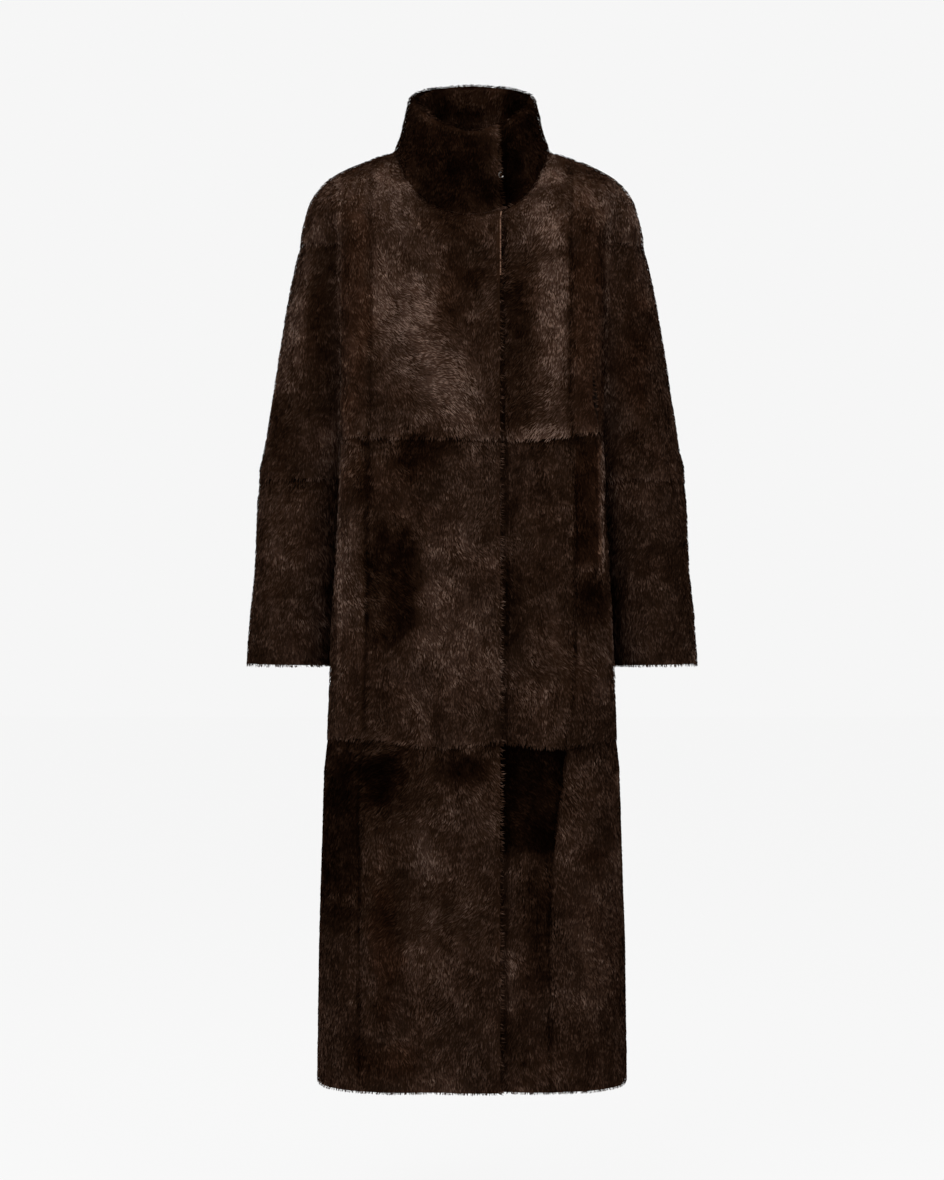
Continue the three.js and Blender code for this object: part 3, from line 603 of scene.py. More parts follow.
PATCHES = [
    Patch(-95, -165, 46, 84, 0.12, turn=24),
    Patch(-70, -130, 30, 16, -0.08, turn=30),
    Patch(-22, -170, 22, 56, -0.20, 0.25, turn=-18),
    Patch(-16, -290, 36, 46, 0.08),
    Patch(98, -180, 22, 165, 0.20, node="upper_front_left"),
    # painted shadow in the slit beside the lapped front edge
    Patch(66, -180, 16, 70, -0.14, 0.15, turn=-10),
    Patch(-146, -200, 18, 160, -0.04, 0.45),
    Patch(147, -200, 20, 160, -0.02, 0.45),
    # painted highlight on the fringe that hangs over the first tier seam
    Patch(90, -338, 66, 12, 0.20, node="upper_front_left"),
    Patch(146, -338, 20, 9, 0.14, node="upper_side_left"),
    # painted shadow along the lapped front edge, down all three tiers
    Patch(39, -260, 4, 190, -0.24, crisp=True, node="upper_front_left"),
    Patch(41, -540, 5, 190, -0.18, crisp=True, node="mid_front_left"),
    Patch(41, -930, 5, 210, -0.12, crisp=True, node="low_front_left"),
    # painted highlights on the crests of the folds at the sides
    Patch(-165, -330, 3, 330, 0.16, crisp=True),
    Patch(160, -430, 4, 88, 0.30, crisp=True, node="mid_side_left"),
    Patch(169, -200, 3, 120, 0.14, crisp=True),
    # the pocket's opening: the side panel's own redder, darker nap, deepened by painted shadow
    Patch(144, -424, 16, 79, -0.20, 0.45, crisp=True, node="mid_side_left"),
    Patch(146, -505, 18, 5, 0.14, node="mid_side_left"),
    # painted shadow beside the collar's lapped end, and a painted highlight on its rounded corner
    Patch(50, -24, 17, 52, -0.22, node="collar_outer"),
    Patch(40, -20, 4, 44, -0.16, crisp=True, node="collar_outer"),
    Patch(33, 6, 4, 24, 0.16, node="collar_outer"),
    Patch(-25, -20, 46, 40, -0.10, node="collar_outer"),
    Patch(-78, -10, 10, 44, 0.10, 0.2, node="collar_outer"),
    # painted highlight along the collar's front rim
    Patch(-50, 50, 14, 7, 0.18, turn=-35, node="collar_outer"),
    Patch(-16, 38, 26, 6, 0.20, node="collar_outer"),
    Patch(22, 38, 24, 6, 0.20, node="collar_outer"),
    Patch(56, 51, 15, 6, 0.18, turn=40, node="collar_outer"),
    # painted shade inside the collar's roll
    Patch(-42, 72, 13, 24, -0.24, node="collar_inner"),
    Patch(52, 74, 11, 22, -0.24, node="collar_inner"),
    Patch(-4, 54, 20, 16, -0.16, node="collar_inner"),
    Patch(24, 82, 16, 9, 0.16, node="collar_inner"),
    Patch(-24, 86, 9, 8, 0.12, node="collar_inner"),
    # painted highlight where light falls on the top of the chest
    Patch(88, -52, 24, 56, 0.16, node="upper_front_left"),
    Patch(-100, -40, 30, 36, 0.12, node="upper_front_right"),
    Patch(-20, -84, 34, 20, -0.08, 0.2, node="upper_front_right"),
    # painted shadow, soft and wide, beside the lapped front edge
    Patch(53, -540, 13, 190, -0.12, node="mid_front_left"),
    Patch(53, -260, 10, 190, -0.06, node="upper_front_left"),
    Patch(-98, -530, 36, 66, -0.40, 0.2, turn=8),
    Patch(-64, -366, 32, 26, -0.28, 0.2),
    Patch(-110, -410, 50, 40, -0.08, 0.2),
    Patch(-158, -480, 18, 160, 0.12),
    Patch(-30, -500, 30, 90, 0.10, turn=-15),
    Patch(70, -500, 30, 130, -0.06),
    Patch(150, -552, 18, 24, -0.3, 0.2, node="mid_side_left"),
    Patch(-30, -625, 78, 60, 0.09),
    Patch(98, -640, 60, 50, 0.05),
    Patch(76, -790, 52, 72, -0.46, 0.1, crisp=True, node="low_front_left"),
    Patch(84, -940, 20, 120, -0.22, 0.15, turn=-4, node="low_front_left"),
    Patch(60, -1010, 22, 110, 0.06, node="low_front_left"),
    Patch(-108, -768, 36, 34, -0.34, 0.3, turn=30),
    Patch(-8, -758, 36, 26, -0.34, 0.2),
    Patch(-108, -975, 20, 82, -0.10, 0.6),
    Patch(-108, -1125, 46, 24, -0.10, 0.4),
    Patch(-164, -830, 26, 130, -0.28, 0.15, node="low_side_right"),
    Patch(148, -865, 20, 14, -0.26, 0.3),
    Patch(-36, -950, 44, 150, 0.13),
    Patch(158, -988, 24, 120, 0.05),
    Patch(-226, -212, 18, 112, 0.24, turn=-12),
    Patch(-190, -212, 16, 74, -0.14, 0.2),
    Patch(205, -250, 20, 66, -0.10, 0.4),
    Patch(214, -130, 16, 60, 0.14, turn=10),
    # painted highlight where light falls on the shoulders
    Patch(-200, -60, 60, 40, 0.14),
    Patch(180, -50, 50, 36, 0.20),
    Patch(-236, -520, 60, 110, 0.08),
]
SWIRLS = [
    Swirl(-85, -200, 60, 70),
    Swirl(30, -150, 50, -55),
    Swirl(-40, -270, 45, 60),
    Swirl(100, -300, 70, -35),
    Swirl(-95, -530, 60, 50),
    Swirl(-110, -770, 45, -80),
    Swirl(70, -810, 55, 45),
    Swirl(-60, -950, 80, -30),
    Swirl(120, -620, 70, 30),
]
CREASES = [
    Crease(-170, -165, -172, -230, 5, 4),
    Crease(141, -40, 168, -95, 7, 4),
    Crease(-205, -120, -196, -300, 9, 3),
    Crease(208, -110, 214, -290, 10, 3),
    Crease(-262, -372, -214, -398, 9, 3),
    Crease(262, -366, 210, -402, 10, 3),
    Crease(-250, -440, -205, -470, 12, 2.5),
    Crease(252, -520, 214, -560, 14, 2.5),
    Crease(-60, -470, -78, -700, 26, 2.5),
    Crease(-20, -760, -30, -1140, 28, 3),
    Crease(96, -760, 104, -1140, 26, 3),
    Crease(-196, -110, -214, -260, 12, 3, back=True),
    Crease(196, -120, 212, -280, 11, 3, back=True),
    Crease(0, -130, 6, -420, 34, 3, back=True),
    Crease(-90, -420, -110, -1140, 34, 4, back=True),
    Crease(70, -380, 104, -1140, 38, 4, back=True),
    Crease(-258, -380, -208, -404, 11, 3, back=True),
    Crease(258, -376, 206, -410, 12, 3, back=True),
]


def nodes_of(tree: bpy.types.NodeTree, **kinds: str) -> dict[str, bpy.types.Node]:
    """New nodes by name."""
    return {name: tree.nodes.new(kind) for name, kind in kinds.items()}


def set_values(node: bpy.types.Node, **values: float) -> None:
    """Sets input sockets; an underscore in a name stands for a blank."""
    for name, value in values.items():
        node.inputs[name.replace("_", " ")].default_value = value


def blank_material(name: str) -> tuple[bpy.types.NodeTree, bpy.types.Node]:
    """A new material's tree and its Principled shader.

    Args:
        name: The material's name.

    Returns:
        The tree and the shader's node.
    """
    material = bpy.data.materials.new(name)
    material.use_nodes = True
    return material.node_tree, material.node_tree.nodes["Principled BSDF"]


def fill_ramp(ramp: bpy.types.ColorRamp, stops: list[tuple[float, tuple[float, float, float]]]) -> None:
    """Sets the stops of a colour ramp.

    Args:
        ramp: The ramp, which is changed.
        stops: Place and colour of each stop, in order.
    """
    while len(ramp.elements) > 1:
        ramp.elements.remove(ramp.elements[-1])
    for index, (place, color) in enumerate(stops):
        stop = ramp.elements[0] if index == 0 else ramp.elements.new(place)
        stop.position = place
        stop.color = (*color, 1.0)


def fur_color_group() -> bpy.types.NodeTree:
    """The shared colour ramps of the fur: lightness, painted shade and highlights included, and redness
    in, colour out.

    Returns:
        The node group.
    """
    tree = bpy.data.node_groups.new("fur_colour_ramps", "ShaderNodeTree")
    for name in ("Tone", "Red"):
        tree.interface.new_socket(name, in_out="INPUT", socket_type="NodeSocketFloat")
    tree.interface.new_socket("Color", in_out="OUTPUT", socket_type="NodeSocketColor")
    made = nodes_of(tree, start="NodeGroupInput", end="NodeGroupOutput", brown="ShaderNodeValToRGB",
                    rust="ShaderNodeValToRGB", blend="ShaderNodeMix")
    fill_ramp(made["brown"].color_ramp, [
        (0.0, (0.0010, 0.0005, 0.0003)), (0.25, (0.0044, 0.0021, 0.0011)),
        (0.5, (0.0150, 0.0080, 0.0048)), (0.75, (0.046, 0.0275, 0.0200)), (1.0, (0.15, 0.105, 0.086))])
    fill_ramp(made["rust"].color_ramp, [
        (0.0, (0.0011, 0.0004, 0.0002)), (0.25, (0.0050, 0.0020, 0.0009)),
        (0.5, (0.0170, 0.0070, 0.0036)), (0.75, (0.048, 0.0225, 0.0130)), (1.0, (0.15, 0.085, 0.055))])
    blend = made["blend"]
    blend.data_type = "RGBA"
    for ramp in ("brown", "rust"):
        tree.links.new(made["start"].outputs["Tone"], made[ramp].inputs["Fac"])
    tree.links.new(made["start"].outputs["Red"], blend.inputs["Factor"])
    tree.links.new(made["brown"].outputs["Color"], blend.inputs["A"])
    tree.links.new(made["rust"].outputs["Color"], blend.inputs["B"])
    tree.links.new(blend.outputs["Result"], made["end"].inputs["Color"])
    return tree


def grain_group() -> bpy.types.NodeTree:
    """A shared grain: two sizes of noise in object space, as a mask and a height.

    Returns:
        The node group.
    """
    tree = bpy.data.node_groups.new("hide_grain", "ShaderNodeTree")
    for name in ("Coarse", "Fine"):
        tree.interface.new_socket(name, in_out="INPUT", socket_type="NodeSocketFloat")
    for name in ("Mask", "Height"):
        tree.interface.new_socket(name, in_out="OUTPUT", socket_type="NodeSocketFloat")
    made = nodes_of(tree, start="NodeGroupInput", end="NodeGroupOutput", place="ShaderNodeTexCoord",
                    coarse="ShaderNodeTexNoise", fine="ShaderNodeTexNoise", total="ShaderNodeMath")
    made["total"].operation = "MULTIPLY_ADD"
    made["total"].inputs[1].default_value = 0.5
    for name in ("coarse", "fine"):
        set_values(made[name], Detail=3.0, Roughness=0.6)
        tree.links.new(made["place"].outputs["Object"], made[name].inputs["Vector"])
        tree.links.new(made["start"].outputs[name.title()], made[name].inputs["Scale"])
    tree.links.new(made["fine"].outputs["Fac"], made["total"].inputs[0])
    tree.links.new(made["coarse"].outputs["Fac"], made["total"].inputs[2])
    tree.links.new(made["coarse"].outputs["Fac"], made["end"].inputs["Mask"])
    tree.links.new(made["total"].outputs["Value"], made["end"].inputs["Height"])
    return tree


def placed_group(tree: bpy.types.NodeTree, group: bpy.types.NodeTree) -> bpy.types.Node:
    """A group node in a material's tree.

    Args:
        tree: The material's tree.
        group: The shared group.

    Returns:
        The new node.
    """
    node = tree.nodes.new("ShaderNodeGroup")
    node.node_tree = group
    return node


@dataclass(frozen=True)
class FurFinish:
    """Fur strands: lightness and redness come from the strands' own map."""

    name: str
    roughness: float = 0.6

    def build(self, tone_to_colour: bpy.types.NodeTree) -> bpy.types.Material:
        """Makes the material.

        Args:
            tone_to_colour: The shared node group.

        Returns:
            The material.
        """
        tree, shader = blank_material(self.name)
        made = nodes_of(tree, place="ShaderNodeUVMap", split="ShaderNodeSeparateXYZ")
        made["place"].uv_map = FurCoat.map_name
        color = placed_group(tree, tone_to_colour)
        tree.links.new(made["place"].outputs["UV"], made["split"].inputs["Vector"])
        tree.links.new(made["split"].outputs["X"], color.inputs["Red"])
        tree.links.new(made["split"].outputs["Y"], color.inputs["Tone"])
        tree.links.new(color.outputs["Color"], shader.inputs["Base Color"])
        set_values(shader, Roughness=self.roughness, Specular_IOR_Level=0.0)
        return bpy.data.materials[self.name]


@dataclass(frozen=True)
class UnderfurFinish:
    """The short wool at the strands' roots, coloured as they are from the pelt's tones, painted shade and
    highlights included.
    """

    name: str

    def build(self, tone_to_colour: bpy.types.NodeTree) -> bpy.types.Material:
        """Makes the material.

        Args:
            tone_to_colour: The shared node group.

        Returns:
            The material.
        """
        tree, shader = blank_material(self.name)
        made = nodes_of(tree, own="ShaderNodeAttribute", split="ShaderNodeSeparateColor")
        made["own"].attribute_name = FurCoat.tone_attribute
        color = placed_group(tree, tone_to_colour)
        tree.links.new(made["own"].outputs["Color"], made["split"].inputs["Color"])
        tree.links.new(made["split"].outputs["Red"], color.inputs["Red"])
        tree.links.new(made["split"].outputs["Green"], color.inputs["Tone"])
        tree.links.new(color.outputs["Color"], shader.inputs["Base Color"])
        set_values(shader, Roughness=0.95, Specular_IOR_Level=0.0)
        return bpy.data.materials[self.name]


@dataclass(frozen=True)
class HideFinish:
    """Suede on the inside of a pelt."""

    name: str
    dark: tuple[float, float, float]
    light: tuple[float, float, float]
    coarse: float = 45.0
    fine: float = 900.0
    roughness: float = 0.9
    bump: float = 0.4

    def build(self, grain: bpy.types.NodeTree) -> bpy.types.Material:
        """Makes the material.

        Args:
            grain: The shared node group.

        Returns:
            The material.
        """
        tree, shader = blank_material(self.name)
        made = nodes_of(tree, ramp="ShaderNodeValToRGB", bump="ShaderNodeBump")
        fill_ramp(made["ramp"].color_ramp, [(0.3, self.dark), (0.7, self.light)])
        effect = placed_group(tree, grain)
        set_values(effect, Coarse=self.coarse, Fine=self.fine)
        tree.links.new(effect.outputs["Mask"], made["ramp"].inputs["Fac"])
        tree.links.new(made["ramp"].outputs["Color"], shader.inputs["Base Color"])
        set_values(made["bump"], Strength=self.bump, Distance=0.6 * MM)
        tree.links.new(effect.outputs["Height"], made["bump"].inputs["Height"])
        tree.links.new(made["bump"].outputs["Normal"], shader.inputs["Normal"])
        set_values(shader, Roughness=self.roughness, Specular_IOR_Level=0.2)
        return bpy.data.materials[self.name]


@dataclass(frozen=True)
class MetalFinish:
    """Polished wire with fine wear."""

    name: str
    color: tuple[float, float, float] = (0.62, 0.6, 0.57)

    def build(self, grain: bpy.types.NodeTree) -> bpy.types.Material:
        """Makes the material.

        Args:
            grain: The shared node group.

        Returns:
            The material.
        """
        tree, shader = blank_material(self.name)
        made = nodes_of(tree, ramp="ShaderNodeValToRGB", rough="ShaderNodeMapRange")
        worn = tuple(0.8 * part for part in self.color)
        fill_ramp(made["ramp"].color_ramp, [(0.35, worn), (0.6, self.color)])
        effect = placed_group(tree, grain)
        set_values(effect, Coarse=700.0, Fine=4000.0)
        set_values(made["rough"], To_Min=0.2, To_Max=0.42)
        tree.links.new(effect.outputs["Mask"], made["ramp"].inputs["Fac"])
        tree.links.new(effect.outputs["Mask"], made["rough"].inputs["Value"])
        tree.links.new(made["ramp"].outputs["Color"], shader.inputs["Base Color"])
        tree.links.new(made["rough"].outputs["Result"], shader.inputs["Roughness"])
        set_values(shader, Metallic=1.0)
        return bpy.data.materials[self.name]


@dataclass
class Cut:
    """What a maker would cut for one piece: its name, flat size in millimetres and filled share.

    Then how dense and how light its fur is against the rest, and how far its rim rolls out.
    """

    node: str
    side: Side
    width: float
    length: float
    filled: float = 0.95
    dense: float = 1.0
    tone: float = 0.0
    bulge: float = 0.0


class FurCoat:
    """Grows fur on surfaces and makes pelts of them.

    The density is in strands a square metre and the turn in radians. Strand shades and lights go
    from the root over both middles to the tip.
    """

    map_name = "OFBake"
    tone_attribute = "own_dye"
    hide_thickness = 1.4 * MM
    seam_dip = 2.4 * MM
    seam_reach = 4.0 * MM
    seam_overlap = 0.7 * MM
    full_density = 330000.0
    hem_hang = 3.0 * MM
    most_turn = 0.8
    pelt_seed = 7
    pelt_shade = 0.78
    strand_shades = np.array([0.72, 0.97, 0.97, 1.0])
    strand_lights = np.array([0.0, 0.0, 0.0, 0.08])
    map_half_width = 0.004 # a strand with no width on its map would bake black
    back_blotches = 0.16

    def __init__(self, pattern: Pattern, fur: bpy.types.Material, underfur: bpy.types.Material,
                 suede: bpy.types.Material, slot: Slot, pile: Pile, coloring: Coloring) -> None:
        """Keeps what the pieces share.

        Args:
            pattern: The faces of all pieces.
            fur: Material of the strands.
            underfur: Material of the pelt's furry face.
            suede: Material of the pelt's inside.
            slot: The record's slot; not used.
            pile: How the fur grows.
            coloring: How the fur is coloured, with its painted shade, highlights and sheen.
        """
        self.pattern = pattern
        self.fur, self.underfur, self.suede = fur, underfur, suede
        self.slot, self.pile, self.coloring = slot, pile, coloring

    def rising(self, ground: Surface) -> np.ndarray:
        """How far the fur turns past a free edge, from 0 well inside the piece to 1 at the edge."""
        return smooth(1.0 - ground.free / (self.pile.rim * MM))

    def pelt_surface(self, cut: Cut, parts: int) -> Surface:
        """The hide's furry face: the solid's face, creased, drawn in at seams and sunk by the pile.

        Args:
            cut: The piece.
            parts: Parts that each edge of the solid's face is split into.

        Returns:
            The face, with its seams measured.
        """
        fine = refined(self.pattern.faces[cut.node], parts)
        self.pattern.measure_seams(cut.node, fine)
        drop = sum(crease.drop(fine.points) for crease in CREASES)
        drop = drop + 0.6 * MM * noise(fine.points, 35 * MM, 11)
        share = 0.7 - 0.3 * fine.edge_below
        drop = drop + share * self.seam_dip * np.exp(-((fine.edge / self.seam_reach) ** 2))
        widened(fine, fine.edge < 0.2 * MM, self.seam_overlap)
        drop = drop - 2.0 * MM * self.inner_sleeve(cut, fine.points, fine.normals)
        rise = self.rising(fine)
        depth = self.pile.depth * MM * (1.0 - 0.7 * rise * (self.pile.rim_drop > 0))
        top = rise * np.maximum(fine.away[:, 2], 0.0)
        depth = depth - cut.bulge * MM * smooth(2.2 * top)
        fine.points = fine.points - fine.out * (drop * (1 - rise) + depth)[:, None]
        fine.points = fine.points - fine.away * (self.pile.rim_drop * MM * top)[:, None]
        fine.renew_normals()
        return fine

    def inner_sleeve(self, cut: Cut, points: np.ndarray, normals: np.ndarray) -> np.ndarray:
        """How much each place of a sleeve faces the body, from 0 to 1."""
        facing = -np.sign(points[:, 0]) * normals[:, 0]
        return smooth((facing - 0.3) / 0.4) * ("sleeve" in cut.node)

    def make_pelt(self, cut: Cut, surface: Surface) -> bpy.types.Object:
        """The hide as a thin closed sheet, suede inside, in place of its node.

        Args:
            cut: The piece.
            surface: The furry face of the piece.

        Returns:
            The pelt.
        """
        mesh = bpy.data.meshes.new(f"pelt_{cut.node}")
        mesh.from_pydata(surface.points.tolist(), [], surface.faces.tolist())
        pelt = bpy.data.objects.new(mesh.name, mesh)
        bpy.context.scene.collection.objects.link(pelt)
        for material in (self.underfur, self.suede):
            mesh.materials.append(material)
        # the pelt's colour attribute carries its tones, painted shade and highlights included
        tone, red = self.tones(cut, surface, np.random.default_rng(self.pelt_seed))
        pelt_tones = np.stack([red, self.pelt_shade * tone, 0 * tone, 0 * tone + 1], axis=1)
        own = mesh.color_attributes.new(self.tone_attribute, "FLOAT_COLOR", "POINT")
        own.data.foreach_set("color", np.clip(pelt_tones, 0.0, 1.0).reshape(-1).astype(np.float32))
        bpy.ops.object.select_all(action="DESELECT")
        pelt.select_set(True)
        bpy.context.view_layer.objects.active = pelt
        solid = pelt.modifiers.new("thickness", "SOLIDIFY")
        solid.thickness = self.hide_thickness
        solid.offset = -1.0
        solid.material_offset = 1
        bpy.ops.object.modifier_apply(modifier=solid.name)
        bpy.ops.object.shade_smooth_by_angle(angle=math.radians(50))
        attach(pelt, "root")
        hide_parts(cut.node)
        return pelt

    def tones(self, cut: Cut, ground: Surface,
              rng: np.random.Generator) -> tuple[np.ndarray, np.ndarray]:
        """Lightness and redness at every place of a surface.

        Args:
            cut: The piece.
            ground: The places, with their distances to the edges.
            rng: Source of the differences between strands.

        Returns:
            Two values a place.
        """
        c = self.coloring
        roots = ground.points
        places = picture_plane(roots)
        in_front = smooth((FRONT_REACH - roots[:, 1]) / FRONT_FADE)
        if cut.side is Side.INWARD: # the inside of the back shows from the front
            in_front = np.ones(len(roots))
        wander = noise(roots, 26 * MM, 3) + 0.6 * noise(roots, 9 * MM, 4)
        tone = np.full(len(roots), c.tone + cut.tone)
        red = np.full(len(roots), c.red)
        # the patches add the fur's own blots and also painted shadows and highlights
        for patch in PATCHES:
            if not cut.node.startswith(patch.node):
                continue
            weight = patch.weight(places, wander) * in_front
            tone += patch.tone * weight
            red += patch.red * weight
        behind = 1 - in_front
        tone += self.back_blotches * behind * noise(roots * np.array([1.6, 1.6, 0.8]), 80 * MM, 8)
        tone += c.broad * noise(roots, 60 * MM, 5) + c.blotchy * noise(roots, 22 * MM, 6)
        tone += c.tufted * noise(roots * np.array([1, 1, 1.8]), 8 * MM, 7)
        # the nap term is painted sheen: the fur is lighter or darker as its nap turns towards or away
        # from the light
        tone += 0.8 * c.tufted * noise(roots, 3.5 * MM, 10) + c.nap_sheen * np.sin(self.nap_turn(roots))
        tone += c.strand * rng.uniform(-1, 1, len(roots))
        # painted shade in a seam under an overhanging edge, painted highlight on the fringe that hangs
        # over it, and painted highlight along free rims
        over = np.clip(ground.edge_below, 0, 1)
        tone -= c.seam_shade * (1 - over) * np.exp(-((ground.edge / (2.6 * MM)) ** 2))
        tone += c.seam_highlight * over * np.exp(-((ground.edge / (6.0 * MM)) ** 2))
        tone += c.rim_highlight * smooth(1.6 * self.rising(ground))
        red += 0.15 * noise(roots, 30 * MM, 9) + 0.1 * rng.uniform(-1, 1, len(roots))
        return tone, np.clip(red, 0.02, 0.97)

    def nap_turn(self, roots: np.ndarray) -> np.ndarray:
        """Angle between the way each strand lies and straight down, with swirls.

        Args:
            roots: Where the strands stand, one a row.

        Returns:
            Radians, one a strand.
        """
        places = picture_plane(roots)
        angle = sum(swirl.angle(places) for swirl in SWIRLS)
        wander = math.radians(self.pile.wander)
        angle = angle * (roots[:, 1] < FRONT_REACH) + wander * noise(roots, 45 * MM, 1)
        return angle + 0.8 * wander * noise(roots, 14 * MM, 2)

    def nap(self, roots: np.ndarray, normals: np.ndarray) -> np.ndarray:
        """Direction in the surface in which each strand lies.

        Args:
            roots: Where the strands stand, one a row.
            normals: The surface's normal at each root.

        Returns:
            One direction a strand.
        """
        lie = unit(dots(UP, normals) * normals - UP)
        angle = self.nap_turn(roots)
        across = np.cross(normals, lie)
        return lie * np.cos(angle)[:, None] + across * np.sin(angle)[:, None]

    def scattered(self, surface: Surface, dense: float, rng: np.random.Generator) -> Surface:
        """Places on a surface, evenly at random, as a surface of loose points.

        Args:
            surface: The surface.
            dense: Share of the full density.
            rng: Source of the places.

        Returns:
            The places, with the surface's values between its points.
        """
        count = int(self.full_density * dense * surface.area())
        areas = np.linalg.norm(surface.face_normals(), axis=1)
        picks = rng.choice(len(areas), count, p=areas / areas.sum())
        a, b = np.sort(rng.random((2, count)), axis=0)
        weights = np.stack([a, b - a, 1 - b], axis=1)
        corners = surface.faces[picks]
        between = {
            name: np.einsum("pk,pk...->p...", weights, getattr(surface, name)[corners])
            for name in ("points", "normals", "out", "edge", "edge_below", "free", "away")
        }
        between["normals"] = unit(between["normals"])
        return Surface(faces=np.zeros((0, 3), dtype=int), **between)

    def grow(self, cut: Cut, surface: Surface, seed: int) -> bpy.types.Object:
        """Grows the fur of a piece as one joined mesh of bent strands, pointed at both ends.

        Args:
            cut: The piece.
            surface: The furry face of the piece.
            seed: Picks the strands.

        Returns:
            The fur.
        """
        rng = np.random.default_rng(seed)
        pile, ground = self.pile, self.scattered(surface, cut.dense, rng)
        roots, normals, count = ground.points, ground.normals, len(ground.points)
        lie = self.nap(roots, normals)
        rise = self.rising(ground)[:, None]
        lie = unit(lie * (1 - rise) + rise * (ground.away + pile.rim_lift * normals))
        growing = unit(normals + 0.9 * pile.rim_lift * rise * ground.away)
        lie = unit(lie - dots(lie, growing) * growing)
        across = np.cross(growing, lie)
        tuft = pile.tuft * np.stack([noise(roots, 8 * MM, 20), noise(roots, 8 * MM, 21)], axis=1)
        stray = pile.stray * rng.normal(size=(count, 2))
        bend = tuft + stray
        length = pile.length * MM * rng.uniform(0.78, 1.12, (count, 1))
        length *= 1 + 0.12 * noise(roots, 12 * MM, 22)[:, None]
        length *= 1 + 0.5 * self.inner_sleeve(cut, roots, normals)[:, None] + 0.2 * pile.rim_lift * rise
        root_lean, tip_lean = math.radians(pile.root_lean), math.radians(pile.tip_lean)
        first = unit(growing * math.cos(root_lean) + lie * math.sin(root_lean)
                     + 0.5 * (lie * bend[:, :1] + across * bend[:, 1:]))
        last = unit(growing * math.cos(tip_lean) + lie * math.sin(tip_lean)
                    + lie * bend[:, :1] + across * bend[:, 1:])
        middles = roots + 0.5 * length * first
        tips = middles + 0.5 * length * last
        if cut.node.startswith(("low_", "lower_")):
            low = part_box(cut.node)[0].z
            tips[:, 2] = np.maximum(tips[:, 2], low - self.hem_hang * rng.uniform(0.5, 1.0, count))
            middles[:, 2] = np.maximum(middles[:, 2], low - 0.4 * self.hem_hang)
        turn = rng.uniform(-self.most_turn, self.most_turn, (count, 1))
        flat = unit(across * np.cos(turn) + normals * np.sin(turn))
        flat *= np.sign(dots(np.cross(flat, first + last), normals)) # strands show their fronts outside
        half = 0.5 * pile.width * MM * rng.uniform(0.7, 1.2, (count, 1))
        points = np.stack([roots, middles - flat * half, middles + flat * half, tips], axis=1)
        tone, red = self.tones(cut, ground, rng)
        shades = tone[:, None] * self.strand_shades + self.strand_lights
        reds = red[:, None] + self.map_half_width * np.array([0, -1, 1, 0])
        own = unit(np.cross(flat, last))
        shading = unit(0.70 * growing + 0.30 * own + 0.2 * rng.normal(size=(count, 3)))
        return self.strand_mesh(cut, points, shades, reds, shading)

    def strand_mesh(self, cut: Cut, points: np.ndarray, shades: np.ndarray, reds: np.ndarray,
                    shading: np.ndarray) -> bpy.types.Object:
        """Joins strands of four points and two triangles into one object.

        Args:
            cut: The piece.
            points: Root, two middles and tip of each strand.
            shades: Lightness at those points.
            reds: Redness at those points.
            shading: Normal that each strand is lit by.

        Returns:
            The fur.
        """
        count = len(points)
        faces = np.array([[0, 2, 1], [1, 2, 3]])
        corners = (faces[None] + 4 * np.arange(count)[:, None, None]).reshape(-1)
        mesh = bpy.data.meshes.new(f"fur_{cut.node}")
        mesh.vertices.add(4 * count)
        mesh.vertices.foreach_set("co", points.reshape(-1).astype(np.float32))
        mesh.loops.add(len(corners))
        mesh.loops.foreach_set("vertex_index", corners.astype(np.int32))
        mesh.polygons.add(2 * count)
        mesh.polygons.foreach_set("loop_start", np.arange(0, len(corners), 3, dtype=np.int32))
        mesh.polygons.foreach_set("use_smooth", np.ones(3 * count, dtype=bool))
        mesh.update(calc_edges=True)
        uv = np.stack([reds.reshape(-1), np.clip(shades.reshape(-1), 0.01, 0.99)], axis=1)
        mesh.uv_layers.new(name=self.map_name).uv.foreach_set(
            "vector", uv[corners].reshape(-1).astype(np.float32))
        mesh.materials.append(self.fur)
        normals = np.repeat(shading, 4, axis=0)
        mesh.normals_split_custom_set_from_vertices(normals.astype(np.float32))
        fur = bpy.data.objects.new(mesh.name, mesh)
        bpy.context.scene.collection.objects.link(fur)
        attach(fur, "root")
        return fur

    def make(self, cut: Cut, parts: int, seed: int) -> None:
        """Makes one piece of the coat: its pelt and its fur.

        Args:
            cut: The piece.
            parts: Parts that each edge of the solid's face is split into.
            seed: Picks the strands.
        """
        surface = self.pelt_surface(cut, parts)
        pelt = self.make_pelt(cut, surface)
        fur = self.grow(cut, surface, seed)
        LOG.info("%s: %.4f m2 of pelt, %d triangles of fur", cut.node, surface.area(),
                 len(fur.data.polygons))


@dataclass
class Camera:
    """The photograph's point of view: level, straight at the front."""

    distance: float = 3.8
    height: float = -0.5375
    tall: float = 1.475

    def build(self) -> None:
        """Makes the camera and makes it the scene's own."""
        data = bpy.data.cameras.new("camera")
        data.sensor_fit = "VERTICAL"
        data.sensor_height = 36.0
        data.lens = data.sensor_height * self.distance / self.tall
        camera = bpy.data.objects.new("camera", data)
        camera.location = (0.0, -self.distance, self.height)
        camera.rotation_euler = (math.pi / 2, 0.0, 0.0)
        bpy.context.scene.collection.objects.link(camera)
        bpy.context.scene.camera = camera


